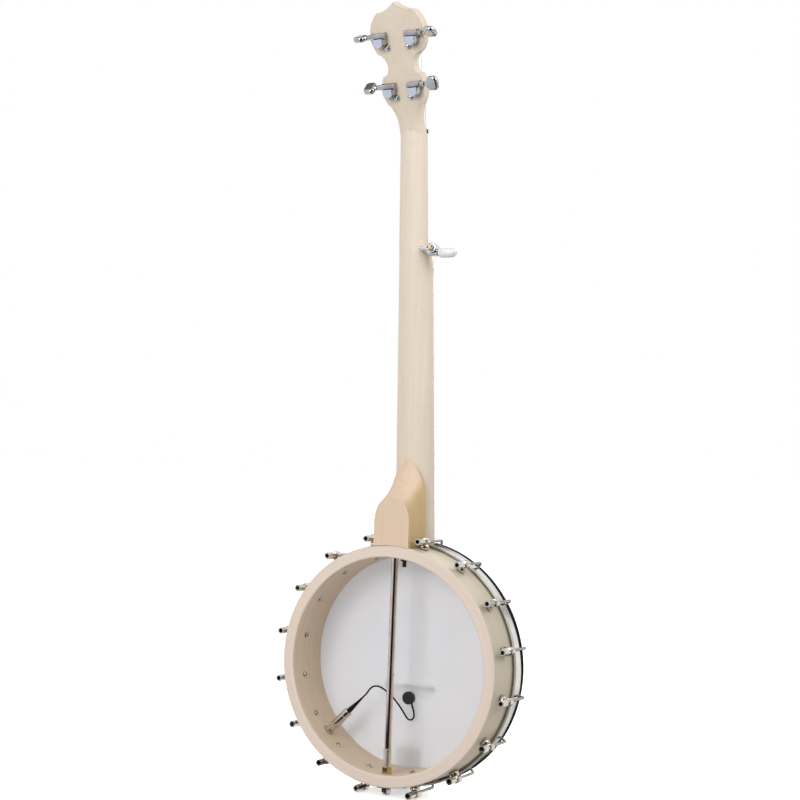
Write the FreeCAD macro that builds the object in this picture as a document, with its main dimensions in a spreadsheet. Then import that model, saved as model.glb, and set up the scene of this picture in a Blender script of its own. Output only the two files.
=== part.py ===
import FreeCAD, Part
import math
import os

import Sketcher
from FreeCAD import Placement, Rotation, Vector

# Open-back five-string banjo, millimetres.
# Origin: centre of the pot on the rim's back plane. +Z runs up the neck, the head and the
# strings face -Y, the treble side is +X and the fifth-string side is -X.

SIZES = {
    # pot
    "rim_outer": 141.2,
    "rim_inner": 127.0,
    "rim_depth": 63.5,
    "rim_edge_round": 1.6,
    "head_thick": 0.4,
    "head_collar_gap": 0.3,
    "head_collar_back": 52.0,
    "flesh_hoop_wide": 2.2,
    "flesh_hoop_deep": 4.0,
    "flesh_hoop_back": 50.0,
    "hoop_outer": 146.5,
    "hoop_wall": 2.2,
    "hoop_lip": 2.2,
    "hoop_lip_front": 58.0,
    "hoop_back": 48.0,
    "hoop_front": 70.0,
    "hoop_round": 0.8,
    "hoop_notch_half": 27.0,
    "hoop_notch_front": 61.6,
    # brackets
    "bracket_radius": 151.3,
    "bracket_count": 8,
    "bracket_gap_half": 13.25,
    "hook_rod": 1.6,
    "hook_sunk": 1.7,
    "hook_slot_half": 1.9,
    "hook_back": 9.0,
    "hook_tip": 65.0,
    "hook_lip_radius": 141.5,
    "nut_flats": 7.2,
    "nut_back": 3.4,
    "nut_front": 20.4,
    "nut_bore": 1.65,
    "shoe_depth": 24.6,
    "shoe_ball": 6.2,
    "shoe_lug": 4.8,
    "shoe_lug_half": 4.0,
    "shoe_screw": 2.0,
    "shoe_screw_head": 3.9,
    # coordinator rod and its fasteners
    "rod_depth": 14.5,
    "rod_radius": 4.0,
    "rod_bottom": 98.0,
    "sleeve_radius": 4.7,
    "foot_top": 119.0,
    "foot_flats": 11.0,
    "bolt_radius": 3.0,
    "second_bolt_depth": 38.5,
    "second_bolt_radius": 2.5,
    # neck
    "nut_height": 636.3,
    "string_scale": 666.75,
    "front_at_heel": 65.45,
    "neck_slope": 3.7,
    "neck_end": 142.5,
    "nut_width": 32.0,
    "nut_centre": 4.4,
    "treble_at_heel": 23.4,
    "bass_at_nut": 18.2,
    "bass_at_heel": 25.65,
    "fifth_step": 6.6,
    "step_top": 505.0,
    "step_bottom": 478.0,
    "thick_at_nut": 20.0,
    "thick_at_heel": 23.2,
    "side_flat": 3.0,
    "lamination": 22.6,
    "fret_count": 22,
    "fret_radius": 1.1,
    "fret_tang": 0.6,
    "fret_tang_deep": 1.6,
    # peghead
    "head_angle": 19.6,
    "head_drop": 5.0,
    "head_plate": 14.5,
    "upper_post_across": 21.2,
    "upper_post_along": 109.6,
    "lower_post_across": 16.6,
    "lower_post_along": 50.5,
    # geared tuners
    "post_radius": 3.0,
    "post_clearance": 0.05,
    "gear_radius": 4.65,
    "gear_root": 3.7,
    "gear_teeth": 14,
    "gear_thick": 4.0,
    "worm_offset": 7.0,
    "worm_height": 4.5,
    "worm_ring": 2.2,
    "worm_shaft": 1.6,
    "housing_radius": 8.0,
    "housing_tall": 9.5,
    "button_start": 16.0,
    "button_long": 14.5,
    "button_wide": 17.0,
    "button_thick": 6.8,
    # pickup and output jack
    "disc_radius": 7.5,
    "disc_thick": 6.0,
    "jack_turn": 134.3,
    "jack_depth": 31.0,
    "jack_radius": 5.4,
    "jack_bore": 3.25,
    "jack_inner_end": 89.5,
    "boot_end": 65.5,
    "cable_diameter": 2.0,
}

doc = FreeCAD.newDocument("banjo")
sheet = doc.addObject("Spreadsheet::Sheet", "Sizes")
for row, (alias, value) in enumerate(SIZES.items(), start=1):
    sheet.set(f"A{row}", alias)
    sheet.set(f"B{row}", str(value))
    sheet.setAlias(f"B{row}", alias)
doc.recompute()

ORIGIN = Vector(0, 0, 0)
X_AXIS = Vector(1, 0, 0)
Y_AXIS = Vector(0, 1, 0)
Z_AXIS = Vector(0, 0, 1)
FAR = 400.0

kept = []


def number(expression):
    """The value of an expression of the sheet's aliases, such as Sizes.rim_outer / 2."""
    return float(sheet.evalExpression(expression))


def keep(piece, label):
    """Give a finished sub-part its name and add it to the parts that are written."""
    piece.Label = label
    kept.append(piece)
    return piece


def plane_of(body, role):
    return next(item for item in body.Origin.OriginFeatures if item.Role == role)


def pin(sketch, index, axis, expression):
    """Fix a corner's distance from the origin along one axis to an expression."""
    value = number(expression)
    if abs(value) < 1e-9:
        own_axis = -2 if axis == "DistanceX" else -1
        sketch.addConstraint(Sketcher.Constraint("PointOnObject", index, 1, own_axis))
        return
    place = sketch.addConstraint(Sketcher.Constraint(axis, -1, 1, index, 1, value))
    sketch.setExpression(f"Constraints[{place}]", expression)


def outline(body, plane, corners):
    """A closed sketch of straight sides whose corners are pairs of expressions."""
    sketch = body.newObject("Sketcher::SketchObject", "outline")
    sketch.AttachmentSupport = (plane_of(body, plane), [""])
    sketch.MapMode = "FlatFace"
    points = [Vector(number(across), number(up), 0) for across, up in corners]
    for index, point in enumerate(points):
        following = points[(index + 1) % len(points)]
        sketch.addGeometry(Part.LineSegment(point, following), False)
    for index, (across, up) in enumerate(corners):
        before = (index - 1) % len(corners)
        sketch.addConstraint(Sketcher.Constraint("Coincident", before, 2, index, 1))
        pin(sketch, index, "DistanceX", across)
        pin(sketch, index, "DistanceY", up)
    return sketch


def turned(label, corners, placement=Placement()):
    """A body turned about its own Y axis from (radius, y) corners."""
    body = doc.addObject("PartDesign::Body", label)
    sketch = outline(body, "XY_Plane", corners)
    turn = body.newObject("PartDesign::Revolution", "turn")
    turn.Profile = sketch
    turn.ReferenceAxis = (sketch, ["V_Axis"])
    turn.Angle = 360.0
    body.Placement = placement
    doc.recompute()
    return body


def solid(label, shape, placement=Placement()):
    """A feature whose shape is worked out in this file."""
    piece = doc.addObject("Part::Feature", label)
    piece.Shape = shape
    piece.Placement = placement
    return piece


def cut(base, tools):
    """Take the tools' shapes out of a base object, as a Part cut."""
    doc.recompute()
    tool = solid("tool", Part.makeCompound([shape_of(item) for item in tools]))
    result = doc.addObject("Part::Cut", "cut")
    result.Base = base
    result.Tool = tool
    doc.recompute()
    return result


def shape_of(item):
    return item if isinstance(item, Part.Shape) else item.Shape


def rod_between(start, end, radius):
    return Part.makeCylinder(radius, (end - start).Length, start, end - start)


def around_pot(angle):
    """A turn about the pot's axis that carries +Z towards +X by an angle in degrees."""
    return Placement(ORIGIN, Rotation(Y_AXIS, angle))


def copies(shape, angles):
    result = []
    for angle in angles:
        copy = shape.copy()
        copy.Placement = around_pot(angle).multiply(shape.Placement)
        result.append(copy)
    return result


def hexagon(flats, length, placement):
    """A hexagonal bar along its own Z axis, measured across its flats."""
    radius = flats / math.sqrt(3)
    corners = []
    for step in range(7):
        turn = math.radians(60 * step)
        corners.append(Vector(radius * math.cos(turn), radius * math.sin(turn), 0))
    bar = Part.Face(Part.makePolygon(corners)).extrude(Vector(0, 0, length))
    bar.Placement = placement
    return bar


# ---------------------------------------------------------------- derived places

def front_plane(z):
    """Y of the fingerboard's surface at a height up the neck."""
    slope = math.tan(math.radians(number("Sizes.neck_slope")))
    return -number("Sizes.front_at_heel") + slope * (z - 150.0)


def along_neck(z):
    """0 at the string nut, 1 at the heel."""
    top = number("Sizes.nut_height")
    return (top - z) / (top - 150.0)


def treble_edge(z):
    at_nut = number("Sizes.nut_centre + Sizes.nut_width / 2")
    return at_nut + (number("Sizes.treble_at_heel") - at_nut) * along_neck(z)


def bass_edge(z):
    """The bass edge, with the fifth string's shoulder as a smooth step."""
    at_nut = number("Sizes.bass_at_nut")
    wide = -(at_nut + (number("Sizes.bass_at_heel") - at_nut) * along_neck(z))
    bottom = number("Sizes.step_bottom")
    share = (z - bottom) / (number("Sizes.step_top") - bottom)
    share = min(max(share, 0.0), 1.0)
    smooth = share * share * (3 - 2 * share)
    return wide + number("Sizes.fifth_step") * smooth


def neck_thickness(z):
    at_nut = number("Sizes.thick_at_nut")
    return at_nut + (number("Sizes.thick_at_heel") - at_nut) * along_neck(z)


def fret_height(index):
    scale = number("Sizes.string_scale")
    return number("Sizes.nut_height") - scale * (1 - 2 ** (-index / 12))


def lamination_plane(z):
    """Y of the glue plane between the neck and the heel block."""
    return front_plane(z) + number("Sizes.lamination")


BRIDGE_Z = number("Sizes.nut_height - Sizes.string_scale")
HEAD_FRONT = -number("Sizes.rim_depth + Sizes.head_thick")
BRIDGE_TOP = HEAD_FRONT - 17.9
SADDLE_X = [21.0, 10.5, 0.0, -10.5, -21.0]
NUT_X = [number("Sizes.nut_centre") + offset for offset in (12.6, 4.2, -4.2, -12.6)]
STRING_RADII = [0.13, 0.15, 0.18, 0.27, 0.13]
NUT_STRING_Y = front_plane(number("Sizes.nut_height")) - 2.4
FIFTH_PIP_Z = 473.0
FIFTH_PIP_X = -17.8
WINDING_GAP = 0.25
FIFTH_POST_RADIUS = 2.5
TAIL_Y = -77.5
TAIL_Z = -104.0

HEAD_TILT = math.radians(number("Sizes.head_angle"))
HEAD_UP = Vector(0, math.sin(HEAD_TILT), math.cos(HEAD_TILT))
HEAD_BACK = Vector(0, math.cos(HEAD_TILT), -math.sin(HEAD_TILT))
HEAD_BASE = Vector(number("Sizes.nut_centre"), front_plane(639.3), 639.3)


def on_head(across, along, deep):
    """A point of the peghead: across from its centre line, up it, and back from the fingerboard."""
    return HEAD_BASE + X_AXIS * across + HEAD_UP * along + HEAD_BACK * deep


def frame_from(origin, x_direction, y_direction):
    """A placement whose own X and Y axes point along the two directions."""
    z_direction = x_direction.cross(y_direction)
    return Placement(origin, Rotation(x_direction, y_direction, z_direction, "XYZ"))


# ---------------------------------------------------------------- bracket angles

def bracket_angles():
    """Eight brackets a side, with one wider gap at the neck and one at the tail."""
    first = number("Sizes.bracket_gap_half")
    count = int(number("Sizes.bracket_count"))
    step = (180.0 - 2 * first) / (count - 1)
    side = [first + step * index for index in range(count)]
    return side + [-angle for angle in side]


ANGLES = bracket_angles()


# ---------------------------------------------------------------- pot

def jack_direction():
    turn = math.radians(number("Sizes.jack_turn"))
    return Vector(math.sin(turn), 0, math.cos(turn))


def jack_point(radius):
    return jack_direction() * radius + Vector(0, -number("Sizes.jack_depth"), 0)


def rim():
    ring = turned("rim_ring", [
        ("Sizes.rim_inner", "0"),
        ("Sizes.rim_outer", "0"),
        ("Sizes.rim_outer", "-Sizes.rim_depth"),
        ("Sizes.rim_inner", "-Sizes.rim_depth"),
    ])
    turn = ring.Tip
    back_edges = []
    for index, edge in enumerate(turn.Shape.Edges, start=1):
        if abs(edge.BoundBox.YMin) < 1e-6 and abs(edge.BoundBox.YMax) < 1e-6:
            back_edges.append(f"Edge{index}")
    easing = ring.newObject("PartDesign::Fillet", "easing")
    easing.Base = (turn, back_edges)
    easing.setExpression("Radius", "Sizes.rim_edge_round")
    ring.Tip = easing
    doc.recompute()
    inner = number("Sizes.rim_inner") - 10
    wall = number("Sizes.rim_outer") + 10 - inner
    screw_hole = Part.makeCylinder(
        number("Sizes.shoe_screw + 0.1"), wall, Vector(0, -number("Sizes.shoe_depth"), inner), Z_AXIS)
    holes = copies(screw_hole, ANGLES)
    rod_y = -number("Sizes.rod_depth")
    second_y = -number("Sizes.second_bolt_depth")
    bolt = number("Sizes.bolt_radius + 0.15")
    second = number("Sizes.second_bolt_radius + 0.15")
    holes.append(Part.makeCylinder(bolt, wall, Vector(0, rod_y, inner), Z_AXIS))
    holes.append(Part.makeCylinder(second, wall, Vector(0, second_y, inner), Z_AXIS))
    holes.append(Part.makeCylinder(bolt, wall, Vector(0, rod_y, -inner), -Z_AXIS))
    jack_hole = number("Sizes.jack_radius + 0.1")
    holes.append(Part.makeCylinder(jack_hole, wall, jack_point(inner), jack_direction()))
    keep(cut(ring, holes), "rim")


def head():
    collar = "(Sizes.rim_outer + Sizes.head_collar_gap)"
    front = "(Sizes.rim_depth + Sizes.head_thick)"
    keep(turned("head_membrane", [
        ("0", "-Sizes.rim_depth"),
        (collar, "-Sizes.rim_depth"),
        (collar, "-Sizes.head_collar_back"),
        (f"{collar} + Sizes.head_thick", "-Sizes.head_collar_back"),
        (f"{collar} + Sizes.head_thick", f"-{front}"),
        ("0", f"-{front}"),
    ]), "head_membrane")
    inside = f"({collar} + Sizes.head_thick)"
    keep(turned("flesh_hoop", [
        (inside, "-Sizes.flesh_hoop_back"),
        (f"{inside} + Sizes.flesh_hoop_wide", "-Sizes.flesh_hoop_back"),
        (f"{inside} + Sizes.flesh_hoop_wide", "-Sizes.flesh_hoop_back - Sizes.flesh_hoop_deep"),
        (inside, "-Sizes.flesh_hoop_back - Sizes.flesh_hoop_deep"),
    ]), "flesh_hoop")


def tension_hoop():
    wall = "Sizes.hoop_outer - Sizes.hoop_wall"
    lip = "Sizes.hoop_outer - Sizes.hoop_wall - Sizes.hoop_lip"
    lip_back = "-Sizes.flesh_hoop_back - Sizes.flesh_hoop_deep - 0.05"
    ring = turned("hoop_ring", [
        (wall, "-Sizes.hoop_back"),
        ("Sizes.hoop_outer", "-Sizes.hoop_back"),
        ("Sizes.hoop_outer", "-Sizes.hoop_front"),
        (wall, "-Sizes.hoop_front"),
        (wall, "-Sizes.hoop_lip_front"),
        (lip, "-Sizes.hoop_lip_front"),
        (lip, lip_back),
        (wall, lip_back),
    ])
    turn = ring.Tip
    front = -number("Sizes.hoop_front")
    front_edges = []
    for index, edge in enumerate(turn.Shape.Edges, start=1):
        if abs(edge.BoundBox.YMin - front) < 1e-6 and abs(edge.BoundBox.YMax - front) < 1e-6:
            front_edges.append(f"Edge{index}")
    easing = ring.newObject("PartDesign::Fillet", "easing")
    easing.Base = (turn, front_edges)
    easing.setExpression("Radius", "Sizes.hoop_round")
    ring.Tip = easing
    doc.recompute()
    half = number("Sizes.hoop_notch_half")
    notch_front = number("Sizes.hoop_notch_front")
    notch = Part.makeBox(2 * half, 20, 40, Vector(-half, -notch_front - 20, 120))
    slot_half = number("Sizes.hook_slot_half")
    clearance = 0.1
    slot_back = front + number("Sizes.hook_sunk + Sizes.hook_rod") + clearance
    reach = 20
    slot_start = Vector(-slot_half, slot_back - reach, number("Sizes.hook_lip_radius") - 2)
    slot = Part.makeBox(2 * slot_half, reach, reach, slot_start)
    keep(cut(ring, [notch] + copies(slot, ANGLES)), "tension_hoop")


def hook_shape():
    """One bracket hook at the top of the pot: a shank, a bar let into the hoop and a short lip."""
    shank = number("Sizes.bracket_radius")
    lip = number("Sizes.hook_lip_radius")
    bar_y = -number("Sizes.hoop_front - Sizes.hook_sunk")
    outer_bend = 2.8
    inner_bend = 2.0
    diagonal = math.sqrt(0.5)
    start = Vector(0, -number("Sizes.hook_back"), shank)
    shank_end = Vector(0, bar_y + outer_bend, shank)
    bar_start = Vector(0, bar_y, shank - outer_bend)
    outer_centre = Vector(0, bar_y + outer_bend, shank - outer_bend)
    outer_middle = outer_centre + Vector(0, -diagonal, diagonal) * outer_bend
    bar_end = Vector(0, bar_y, lip + inner_bend)
    inner_centre = Vector(0, bar_y + inner_bend, lip + inner_bend)
    inner_middle = inner_centre + Vector(0, -diagonal, -diagonal) * inner_bend
    lip_start = Vector(0, bar_y + inner_bend, lip)
    tip = Vector(0, -number("Sizes.hook_tip"), lip)
    path = Part.Wire([
        Part.LineSegment(start, shank_end).toShape(),
        Part.Arc(shank_end, outer_middle, bar_start).toShape(),
        Part.LineSegment(bar_start, bar_end).toShape(),
        Part.Arc(bar_end, inner_middle, lip_start).toShape(),
        Part.LineSegment(lip_start, tip).toShape(),
    ])
    section = Part.Wire(Part.makeCircle(number("Sizes.hook_rod"), start, -Y_AXIS))
    return path.makePipeShell([section], True, False)


def shoe_shape():
    """One bracket shoe: a ball standing on the rim with a lug that the hook passes through."""
    depth = number("Sizes.shoe_depth")
    radius = number("Sizes.bracket_radius")
    half = number("Sizes.shoe_lug_half")
    rim_outer = number("Sizes.rim_outer")
    ball = Part.makeSphere(number("Sizes.shoe_ball"), Vector(0, -depth, rim_outer + 3.2))
    lug = Part.makeCylinder(
        number("Sizes.shoe_lug"), 2 * half, Vector(0, -depth + half, radius), -Y_AXIS)
    shoe = ball.fuse(lug)
    rim_body = Part.makeCylinder(rim_outer, FAR, Vector(0, FAR / 2, 0), -Y_AXIS)
    hook_hole = Part.makeCylinder(
        number("Sizes.hook_rod + 0.15"), FAR, Vector(0, FAR / 2, radius), -Y_AXIS)
    screw_hole = Part.makeCylinder(
        number("Sizes.shoe_screw + 0.02"), 6.2, Vector(0, -depth, rim_outer - 1), Z_AXIS)
    nut_room = Part.makeCylinder(
        5.4, 40, Vector(0, -number("Sizes.nut_front") - 0.05, radius), Y_AXIS)
    return shoe.cut([rim_body, hook_hole, screw_hole, nut_room])


def bracket_nut_shape():
    """One long hexagonal nut, eased at its open end, with a turned collar next to the shoe."""
    radius = number("Sizes.bracket_radius")
    back = -number("Sizes.nut_back")
    front = -number("Sizes.nut_front")
    flats = number("Sizes.nut_flats")
    eased = 6.6
    bar = hexagon(flats, back - front, Placement(Vector(0, front, radius), Rotation(Z_AXIS, Y_AXIS)))
    straight_room = Part.makeCylinder(
        flats, back - eased - front, Vector(0, front, radius), Y_AXIS)
    eased_room = Part.makeCone(
        flats / 2 + eased, flats / 2 - 0.2, eased + 0.4, Vector(0, back - eased, radius), Y_AXIS)
    collar = Part.makeCylinder(flats / 2 + 0.8, 1.6, Vector(0, front, radius), Y_AXIS)
    bore = Part.makeCylinder(number("Sizes.nut_bore"), FAR, Vector(0, FAR / 2, radius), -Y_AXIS)
    mouth = Part.makeCylinder(number("Sizes.nut_bore + 0.9"), 4.0, Vector(0, back, radius), -Y_AXIS)
    body = bar.common(straight_room.fuse(eased_room)).fuse(collar)
    return body.cut([bore, mouth])


def shoe_screw_shape():
    """One round-head screw put in from inside the rim."""
    depth = number("Sizes.shoe_depth")
    inner = number("Sizes.rim_inner")
    head_radius = number("Sizes.shoe_screw_head")
    base = Vector(0, -depth, inner)
    dome = Part.makeSphere(head_radius * 1.3, base + Vector(0, 0, head_radius * 1.3 - 2.4))
    disc = Part.makeCylinder(head_radius, 3.0, base + Vector(0, 0, -2.8), Z_AXIS)
    bore_side = Part.makeCylinder(inner - 0.05, FAR, Vector(0, FAR / 2, 0), -Y_AXIS)
    head_part = disc.common(dome).common(bore_side)
    shank = Part.makeCylinder(
        number("Sizes.shoe_screw"), 19.0, base + Vector(0, 0, -1.2), Z_AXIS)
    slot_a = Part.makeBox(4.0, 0.9, 1.3, base + Vector(-2.0, -0.45, -2.5))
    slot_b = Part.makeBox(0.9, 4.0, 1.3, base + Vector(-0.45, -2.0, -2.5))
    return head_part.fuse(shank).cut([slot_a, slot_b])


def brackets():
    shapes = {
        "bracket_hooks": hook_shape(),
        "bracket_shoes": shoe_shape(),
        "bracket_nuts": bracket_nut_shape(),
        "shoe_screws": shoe_screw_shape(),
    }
    for label, shape in shapes.items():
        keep(solid(label, Part.makeCompound(copies(shape, ANGLES))), label)


def rod_assembly():
    """The coordinator rod between the neck's lower bolt and the tail bolt."""
    depth = number("Sizes.rod_depth")
    down = Placement(Vector(0, -depth, 0), Rotation(Y_AXIS, Z_AXIS))
    rod = turned("rod", [
        ("0", "-Sizes.rod_bottom"),
        ("Sizes.rod_radius", "-Sizes.rod_bottom"),
        ("Sizes.rod_radius", "Sizes.rim_inner - 0.3"),
        ("Sizes.bolt_radius + 0.02", "Sizes.rim_inner - 0.3"),
        ("Sizes.bolt_radius + 0.02", "Sizes.rim_inner - 12.3"),
        ("0", "Sizes.rim_inner - 12.3"),
    ], down)
    cross_holes = [
        Part.makeCylinder(1.1, FAR, Vector(0, FAR / 2, 2.0), -Y_AXIS),
        Part.makeCylinder(1.1, FAR, Vector(-FAR / 2, -depth, -11.0), X_AXIS),
    ]
    keep(cut(rod, cross_holes), "coordinator_rod")
    keep(turned("rod_sleeve", [
        ("Sizes.bolt_radius + 0.02", "-Sizes.foot_top"),
        ("Sizes.sleeve_radius", "-Sizes.foot_top"),
        ("Sizes.sleeve_radius", "-Sizes.rod_bottom"),
        ("Sizes.bolt_radius + 0.02", "-Sizes.rod_bottom"),
    ], down), "rod_sleeve")
    foot_place = Placement(Vector(0, -depth, -number("Sizes.rim_inner - 0.4")), Rotation())
    foot_bar = hexagon(
        number("Sizes.foot_flats"), number("Sizes.rim_inner - 0.4 - Sizes.foot_top"), foot_place)
    foot_bore = Part.makeCylinder(
        number("Sizes.bolt_radius + 0.02"), 30, Vector(0, -depth, -140), Z_AXIS)
    keep(solid("rod_foot", foot_bar.cut(foot_bore)), "rod_foot")
    bolt = number("Sizes.bolt_radius")
    seat = -number("Sizes.rim_outer") - 2.28
    shank = Part.makeCylinder(bolt, 44.5, Vector(0, -depth, seat - 3.0), Z_AXIS)
    head_bar = hexagon(11.0, 5.0, Placement(Vector(0, -depth, seat - 5.0), Rotation()))
    dome = Part.makeSphere(6.8, Vector(0, -depth, seat - 1.6))
    washer = Part.makeCylinder(7.0, 0.4, Vector(0, -depth, seat), Z_AXIS)
    cap = Part.makeCylinder(4.6, 2.6, Vector(0, -depth, seat - 7.4), Z_AXIS)
    rounded = head_bar.fuse(cap).common(dome)
    end_bolt = rounded.fuse(shank)
    washer = washer.cut(Part.makeCylinder(bolt + 0.02, 10, Vector(0, -depth, seat - 5.0), Z_AXIS))
    keep(solid("rod_end_bolt", Part.makeCompound([end_bolt, washer])), "rod_end_bolt")
    second_y = -number("Sizes.second_bolt_depth")
    second = number("Sizes.second_bolt_radius")
    lower_bolt = Part.makeCylinder(
        bolt, 52.0, Vector(0, -depth, number("Sizes.rim_inner - 11.3")), Z_AXIS)
    upper_bolt = Part.makeCylinder(second, 50.0, Vector(0, second_y, 114.5), Z_AXIS)
    keep(solid("neck_bolts", Part.makeCompound([lower_bolt, upper_bolt])), "neck_bolts")
    nut = hexagon(9.0, 4.0, Placement(Vector(0, second_y, 121.5), Rotation()))
    nut_bore = Part.makeCylinder(second + 0.02, 20, Vector(0, second_y, 115), Z_AXIS)
    keep(solid("neck_bolt_nut", nut.cut(nut_bore)), "neck_bolt_nut")


# ---------------------------------------------------------------- tailpiece and bridge

def tailpiece():
    """A strap from the tail bolt round the hoop, and a plate with five loop pins."""
    depth = number("Sizes.rod_depth")
    strap_in = -(number("Sizes.rim_outer") + 0.25)
    strap_thick = 1.6
    step_y = -number("Sizes.hoop_back") + 0.6
    strap = Part.makeBox(
        16, -depth + 8.0 - step_y, strap_thick, Vector(-8, step_y, strap_in - strap_thick))
    outside = -(number("Sizes.hoop_outer") + 0.6)
    upright = Part.makeBox(
        16, 2.0, strap_in - outside + strap_thick, Vector(-8, step_y, outside - strap_thick))
    outer = Part.makeBox(
        16, 80.0 + step_y + 1.0, strap_thick, Vector(-8, -80.0, outside - strap_thick))
    bolt_hole = Part.makeCylinder(
        number("Sizes.bolt_radius + 0.2"), 30, Vector(0, -depth, -160), Z_AXIS)
    hanger = strap.fuse([upright, outer]).removeSplitter().cut(bolt_hole)
    keep(solid("tailpiece_hanger", hanger), "tailpiece_hanger")
    length = TAIL_Z + 2.0 - outside - 0.2
    body = Part.makeBox(34, 2.0, length, Vector(-17, TAIL_Y - 1.0, outside + 0.2))
    narrow_left = Part.makeBox(9.5, 4.0, 20.0, Vector(-17.5, TAIL_Y - 2.0, outside - 1.0))
    narrow_right = Part.makeBox(9.5, 4.0, 20.0, Vector(8.0, TAIL_Y - 2.0, outside - 1.0))
    lip = Part.makeBox(34, 3.0, 2.0, Vector(-17, TAIL_Y - 1.0, TAIL_Z + 2.0))
    plate_shape = body.fuse(lip).cut([narrow_left, narrow_right])
    pins = []
    for index in range(5):
        across = -12.0 + 6.0 * index
        pins.append(Part.makeCylinder(1.0, 3.2, Vector(across, TAIL_Y - 4.0, TAIL_Z - 4.0), Y_AXIS))
    keep(solid("tailpiece", plate_shape.fuse(pins).removeSplitter()), "tailpiece")


def bridge():
    """A three-footed bridge that narrows to a hardwood cap."""
    foot_y = HEAD_FRONT - 0.02
    cap_y = BRIDGE_TOP + 2.4
    half = 34.0
    outline_points = [Vector(-half, foot_y, 0), Vector(-half, cap_y + 4, 0),
                      Vector(-half + 6, cap_y, 0), Vector(half - 6, cap_y, 0),
                      Vector(half, cap_y + 4, 0), Vector(half, foot_y, 0), Vector(-half, foot_y, 0)]
    front_view = Part.Face(Part.makePolygon(outline_points)).extrude(Vector(0, 0, 8))
    front_view.translate(Vector(0, 0, BRIDGE_Z - 4))
    taper = [Vector(0, foot_y, BRIDGE_Z - 2.8), Vector(0, cap_y, BRIDGE_Z - 1.3),
             Vector(0, cap_y, BRIDGE_Z + 1.3), Vector(0, foot_y, BRIDGE_Z + 2.8),
             Vector(0, foot_y, BRIDGE_Z - 2.8)]
    side_view = Part.Face(Part.makePolygon(taper)).extrude(Vector(2 * half + 2, 0, 0))
    side_view.translate(Vector(-half - 1, 0, 0))
    body = front_view.common(side_view)
    arches = []
    for side in (-1, 1):
        arches.append(Part.makeCylinder(
            7.5, 20, Vector(side * 16.5, foot_y + 1.0, BRIDGE_Z - 10), Z_AXIS))
    keep(solid("bridge", body.cut(arches)), "bridge")
    cap = Part.makeBox(2 * half - 12, cap_y - BRIDGE_TOP, 2.6,
                       Vector(-half + 6, BRIDGE_TOP, BRIDGE_Z - 1.3))
    notches = []
    for index, radius in enumerate(STRING_RADII):
        tail, saddle, upward = string_points(index)[:3]
        notches.append(rod_between(tail, saddle, radius + 0.2))
        notches.append(rod_between(saddle, upward, radius + 0.2))
    keep(solid("bridge_cap", cap.cut(notches)), "bridge_cap")


# ---------------------------------------------------------------- neck

def rounded_section(right, left, front, back, flat, power, lift):
    """A closed wire: a flat front, short straight sides and a rounded back, at one height."""
    centre = (right + left) / 2
    half = (right - left) / 2
    side = front + flat
    points = []
    count = 16
    for step in range(count + 1):
        turn = math.pi * step / count
        across = math.copysign(abs(math.cos(turn)) ** (2 / power), math.cos(turn))
        deep = math.sin(turn) ** (2 / power) if 0 < step < count else 0.0
        points.append(lift(centre + half * across, side + (back - side) * deep))
    curve = Part.BSplineCurve()
    curve.interpolate(points)
    front_right = lift(right, front)
    front_left = lift(left, front)
    return Part.Wire([
        Part.LineSegment(front_right, points[0]).toShape(),
        curve.toShape(),
        Part.LineSegment(points[-1], front_left).toShape(),
        Part.LineSegment(front_left, front_right).toShape(),
    ])


def shaft_section(z):
    front = front_plane(z)
    return rounded_section(
        treble_edge(z), bass_edge(z), front, front + neck_thickness(z),
        number("Sizes.side_flat"), 2.3, lambda x, y: Vector(x, y, z))


def neck_shaft():
    top = number("Sizes.nut_height") + 5.0
    step_top = number("Sizes.step_top")
    step_bottom = number("Sizes.step_bottom")
    upper = Part.makeLoft([shaft_section(top), shaft_section(step_top)], True, True)
    count = 6
    heights = [step_top + (step_bottom - step_top) * index / count for index in range(count + 1)]
    shoulder = Part.makeLoft([shaft_section(z) for z in heights], True, False)
    lower = Part.makeLoft([shaft_section(step_bottom), shaft_section(130.0)], True, True)
    return upper.fuse([shoulder, lower])


HEAD_OUTLINE = [
    # half outline of the peghead: (across, along) corners, each with the arc's middle before it
    ((22.0, 35.0), None),
    ((24.4, 69.6), (27.9, 53.5)),
    ((18.2, 72.9), (20.6, 70.6)),
    ((27.6, 95.6), (17.4, 84.0)),
    ((23.6, 143.6), (35.3, 119.5)),
    ((0.0, 154.4), (10.5, 146.6)),
]


def head_plate():
    """The peghead's plate above the throat, both halves of its outline made of arcs."""
    def point(across, along):
        return on_head(across, along, number("Sizes.head_drop"))
    edges = []
    previous = HEAD_OUTLINE[0][0]
    for corner, middle in HEAD_OUTLINE[1:]:
        for side in (1, -1):
            edges.append(Part.Arc(
                point(side * previous[0], previous[1]),
                point(side * middle[0], middle[1]),
                point(side * corner[0], corner[1])).toShape())
        previous = corner
    low = HEAD_OUTLINE[0][0]
    edges.append(Part.LineSegment(point(low[0], low[1]), point(-low[0], low[1])).toShape())
    outline_wire = Part.Wire(Part.__sortEdges__(edges))
    return Part.Face(outline_wire).extrude(HEAD_BACK * number("Sizes.head_plate"))


def throat():
    """The blend from the rounded neck to the flat peghead."""
    drop = number("Sizes.head_drop")
    back = drop + number("Sizes.head_plate")
    sections = []
    stations = [(-3.0, 16.0, 2.3), (8.0, 15.7, 2.5), (18.0, 16.2, 3.2),
                (27.0, 18.2, 5.0), (35.0, 22.0, 12.0)]
    for along, half, power in stations:
        sections.append(rounded_section(
            half, -half, drop, back, 2.0, power,
            lambda across, deep, station=along: on_head(across, station, deep)))
    return Part.makeLoft(sections, True, False)


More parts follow.
